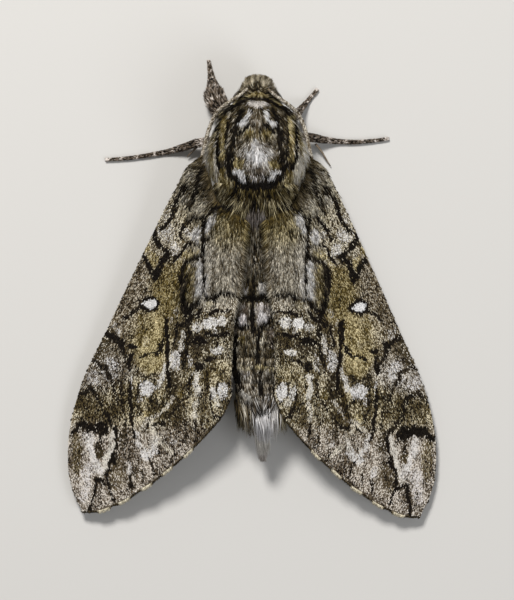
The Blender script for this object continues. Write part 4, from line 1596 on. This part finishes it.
def makeFringe(name, side):
    batches = []
    for row, (level, out, long) in enumerate(fringe["rows"]):
        v = np.clip((np.arange(fringe["perRow"]) + 0.33 * row) / fringe["perRow"], 0.003, 0.99)
        u = 1 - out / wingReach("fore", v)
        spots = wingSurface("fore", side, u, v, level)
        outward, lie = wingFrame("fore", side, u, v, level)
        away = [np.hypot(np.abs(spots[:, 0]) - x, spots[:, 1] - y) for x, y in fringe["paleAt"]]
        pale = 1 - smoothStep(0.6, 1.0, np.min(away, axis=0))
        field = columns(0.14 + 0.74 * pale, 0.4 + 0.15 * pale, 0.0, 0.5 - 0.2 * pale)
        marks = speckled(field, 0.5, luck.random(len(v)))
        size = columns(0.1, long * (0.65 + 0.35 * pale) * vary(v, 0.8, 0.4), 0.03)
        spot = columns(v * 0.99, 0.1 + 0.3 * row)
        batches.append(batchOf(spots, outward, lie, size, np.radians(2.0), spot, marks))
    return growCoat(name, batches, scales, finishes["wingScales"], 0.12, 12)


wingScale = {  # the gap between rows, the gap in a row, and a scale's length and width
    "fore": (0.135, 0.096, 0.36, 0.125),
    "under": (0.34, 0.26, 0.6, 0.34),
    "hind": (0.36, 0.28, 0.6, 0.36),
}
membranes = {}
for sideName, side in bothSides.items():
    membranes["forewing_" + sideName] = makeMembrane("forewing_membrane_" + sideName, "fore", side, 150, 90)
    membranes["hindwing_" + sideName] = makeMembrane("hindwing_membrane_" + sideName, "hind", side, 60, 36)
    coats.append(wingCoat("forewing_scales_" + sideName, "fore", side, 0.004, 0.52, *wingScale["fore"]))
    coats.append(wingCoat("forewing_tipscales_" + sideName, "fore", side, 0.52, 1.0, *wingScale["fore"]))
    coats.append(wingHair("forewing_hair_" + sideName, side))
    under = "forewing_underscales_" + sideName
    coats.append(wingCoat(under, "fore", side, 0.004, 1.0, *wingScale["under"], under=True))
    coats.append(wingCoat("hindwing_scales_" + sideName, "hind", side, 0.004, 1.0, *wingScale["hind"]))
    coats.append(makeFringe("forewing_fringe_" + sideName, side))
print("wings ready")

# Feelers: a chain of short rings, pale scales above and brown below
feeler = {
    "path": [(1.15, -22.95, 8.5, 0.15), (2.2, -22.1, 8.3, 0.21), (3.6, -21.2, 7.1, 0.23),
             (4.8, -20.15, 5.6, 0.23), (5.6, -18.4, 4.75, 0.23), (6.15, -16.2, 4.2, 0.23),
             (6.6, -14.2, 3.95, 0.22), (8.0, -9.5, 3.3, 0.2), (9.55, -4.2, 2.65, 0.13)],
    "rings": 96,
    "ringSides": 10,
    "ringOutline": [(0.02, 0.72), (0.25, 0.95), (0.8, 1.0), (1.08, 0.86)],
    "rowGap": 0.16,
    "gap": 0.13,
    "scale": (0.12, 0.3, 0.02),
}


def feelerTree():
    inputs = {"Joints": "Geometry", "Ring": "Object", "Finish": "Material"}
    tree, given, out = newTree("ringFeeler", "GeometryNodeTree", inputs, {"Feeler": "Geometry"})
    sources = {"Primary Axis": namedRows(tree, "lie"), "Secondary Axis": namedRows(tree, "outward")}
    turn = newNode(tree, "FunctionNodeAxesToRotation", sources, primary_axis="Y", secondary_axis="Z")
    info = newNode(tree, "GeometryNodeObjectInfo", {"Object": given["Ring"]})
    plant = newNode(tree, "GeometryNodeInstanceOnPoints", {
        "Points": given["Joints"], "Instance": info.outputs["Geometry"], "Rotation": turn.outputs[0],
        "Scale": namedRows(tree, "size")})
    real = newNode(tree, "GeometryNodeRealizeInstances", {0: plant.outputs[0]})
    sources = {"Geometry": real.outputs[0], "Material": given["Finish"]}
    feed(out, {0: newNode(tree, "GeometryNodeSetMaterial", sources).outputs[0]})
    return tree


def ringObject():
    sides, spots, faces = feeler["ringSides"], [], []
    turns = [2 * math.pi * k / sides for k in range(sides)]
    for y, radius in feeler["ringOutline"]:
        spots += [(radius * math.cos(turn), y, radius * math.sin(turn)) for turn in turns]
    for r in range(3):
        for k in range(sides):
            a, b = r * sides + k, r * sides + (k + 1) % sides
            faces.append([a, a + sides, b + sides, b])
    faces += [list(range(sides)), list(range(3 * sides, 4 * sides))[::-1]]
    return tuftObject("feelerRing", spots, faces)


def makeFeeler(name, rings):
    samples, along = rings[:2]
    piece = newPiece(name, samples[:, :3], [])
    step = lengths(np.gradient(samples[:, :3], axis=0))
    setAttribute(piece.data, "lie", along)
    setAttribute(piece.data, "outward", np.tile([0.0, 0.0, 1.0], (len(samples), 1)))
    setAttribute(piece.data, "size", columns(samples[:, 3], step, samples[:, 3] * 1.05) * mm)
    make = piece.modifiers.new("rings", "NODES")
    make.node_group = ringFeeler
    setInputs(make, {"Ring": ring, "Finish": finishes["underSkin"]})
    mesh = settle(piece)
    spots, outward = readPoints(mesh)
    above = smoothStep(-0.1, 0.5, outward[:, 2])
    patchy = softNoise(spots[:, 0] / 0.3, spots[:, 1] / 0.35, 53)
    markSkin(mesh, columns(0.22 + (0.15 + 0.5 * patchy) * above, 0.45, 0.2))
    keepInside(mesh)
    return piece


def feelerBatch(rings, side):  # small pale scales over the upper side of a feeler
    rows, across = int(limbLength(rings) / feeler["rowGap"]), int(2 * np.pi * 0.24 / feeler["gap"])
    share = np.repeat((np.arange(rows) + 0.3) / rows, across) + 0.3 / rows * luck.random(rows * across)
    step = np.tile(np.arange(across), rows) + 0.5 * np.repeat(np.arange(rows) % 2, across)
    turn = 2 * np.pi * step / across
    spots, outward, ahead = limbSurface(rings, share, turn, 0.03)
    field = columns(0.26 + 0.42 * smoothStep(-0.3, 0.5, outward[:, 2]), 0.4, 0.25, 0.7)
    marks = speckled(field, softNoise(share * 70, turn, 54), luck.random(len(share)))
    size = np.array(feeler["scale"]) * vary(share, 0.75, 0.5)[:, None]
    spot = columns(share * 0.99, 0.05 + 0.4 * turn / 7 + (0.5 if side > 0 else 0.0))
    return batchOf(spots, outward, ahead, size, np.radians(12) * luck.random(len(share)), spot, marks)


ring, ringFeeler = ringObject(), feelerTree()
feelers, feelerScales = {}, []
for sideName, side in bothSides.items():
    rings = limbRings([(side * x, y, z, r) for x, y, z, r in feeler["path"]], feeler["rings"])
    feelers["antenna_" + sideName] = makeFeeler("feeler_" + sideName, rings)
    feelerScales.append(feelerBatch(rings, side))
coats.append(growCoat("feeler_coat", feelerScales, scales, finishes["legScales"], 0.2, 15))


def eyeFinish():
    material, tree, shader = newFinish("eyeFacets")
    place = newNode(tree, "ShaderNodeTexCoord").outputs["Object"]
    cells = newNode(tree, "ShaderNodeTexVoronoi", {"Vector": place, "Scale": eye["facets"]})
    cloud = newNode(tree, "ShaderNodeTexNoise", {"Vector": place, "Scale": 900})
    sources = {"Factor": cloud.outputs["Fac"], 6: (*eye["colour"], 1.0), 7: (*eye["paleColour"], 1.0)}
    mix = newNode(tree, "ShaderNodeMix", sources, data_type="RGBA")
    sources = {"Distance": 0.00001, "Height": cells.outputs["Distance"]}
    bump = newNode(tree, "ShaderNodeBump", sources, invert=True)
    feed(shader, {"Roughness": 0.16, "Coat Weight": 0.3, "Coat Roughness": 0.08, "Base Color": mix.outputs[2],
                  "Normal": bump.outputs["Normal"]})
    return material


def makeEye(name, side, material):
    rings, sides = 32, 48
    polar = np.repeat(np.pi * (np.arange(rings) + 0.5) / rings, sides)
    turn = np.tile(2 * np.pi * np.arange(sides) / sides, rings)
    ball = np.stack([np.cos(polar) * side, np.sin(polar) * np.cos(turn), np.sin(polar) * np.sin(turn)], 1)
    piece = newPiece(name, ball * eye["radius"] + eyeSpot(side), loftFaces(rings, sides), material)
    outwardFaces(piece)
    return piece


eyeGloss = eyeFinish()
eyes = {"eye_" + name: makeEye("eyeball_" + name, side, eyeGloss) for name, side in bothSides.items()}
print("feelers and eyes ready")

# Each piece rides on the frame and stands for its solids
flesh = ["head", "collar", "thorax", "tegula_left", "tegula_right", "palp_left", "palp_right", "tail_tuft"]
flesh += [f"abdomen_{i}" for i in range(1, 8)] + legNames
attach(skin, "root")
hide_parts(*flesh)
for node, piece in membranes.items():
    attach(piece, "root")
    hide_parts(node)
for node, piece in feelers.items():
    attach(piece, "root")
    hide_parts(node)
for node, piece in eyes.items():
    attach(piece, "root")
    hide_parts(node)
for piece in (claws, spurPiece):
    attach(piece, "root")
for piece in coats:
    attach(piece, "root")
for helper in hairs + scales + [ring]:
    bpy.data.objects.remove(helper)

# Floor, light and camera
studio = {
    "cameraHeight": 0.400,
    "aim": (-0.000298, 0.001377),
    "fieldHeight": 0.0699,
    "fieldLevel": 0.005,
    "roll": 0.91,
    "floorHalf": 1.5,
    "floorColour": (0.62, 0.61, 0.59),
    "worldColour": (0.83, 0.82, 0.81),
    "worldStrength": 0.27,
    "lights": {  # place, width, power and colour
        "key": ((0.10, -0.26, 0.36), 0.12, 2.1, (1.0, 0.98, 0.95)),
        "fill": ((-0.25, 0.20, 0.30), 0.25, 0.5, (0.93, 0.96, 1.0)),
    },
    "sensor": 36.0,
}


def makeFloor():
    material, _, shader = newFinish("paleFloor")
    feed(shader, {"Roughness": 0.85, "Base Color": (*studio["floorColour"], 1.0)})
    half = studio["floorHalf"]
    corners = [(-half, -half, 0), (half, -half, 0), (half, half, 0), (-half, half, 0)]
    mesh = bpy.data.meshes.new("floor")
    mesh.from_pydata(corners, [], [(0, 1, 2, 3)])
    mesh.materials.append(material)
    piece = bpy.data.objects.new("floor", mesh)
    scene.collection.objects.link(piece)
    return piece


def softLight(name, place, width, power, colour):
    lamp = bpy.data.lights.new(name, "AREA")
    lamp.shape, lamp.size, lamp.energy, lamp.color = "DISK", width, power, colour
    light = bpy.data.objects.new(name, lamp)
    light.location = place
    light.rotation_euler = (Vector((0, 0, 0)) - Vector(place)).to_track_quat("-Z", "Y").to_euler()
    scene.collection.objects.link(light)


floor = makeFloor()
floor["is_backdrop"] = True
world = bpy.data.worlds.new("studio")
world.use_nodes = True
feed(world.node_tree.nodes["Background"],
     {"Color": (*studio["worldColour"], 1.0), "Strength": studio["worldStrength"]})
scene.world = world
for name, settings in studio["lights"].items():
    softLight(name, *settings)

lens = bpy.data.cameras.new("camera")
lens.sensor_fit, lens.sensor_width = "AUTO", studio["sensor"]
lens.lens = studio["sensor"] * (studio["cameraHeight"] - studio["fieldLevel"]) / studio["fieldHeight"]
lens.clip_start, lens.clip_end = 0.01, 10.0
camera = bpy.data.objects.new("camera", lens)
camera.location = (*studio["aim"], studio["cameraHeight"])
camera.rotation_euler = (0.0, 0.0, math.pi + math.radians(studio["roll"]))
scene.collection.objects.link(camera)
scene.camera = camera

low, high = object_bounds()
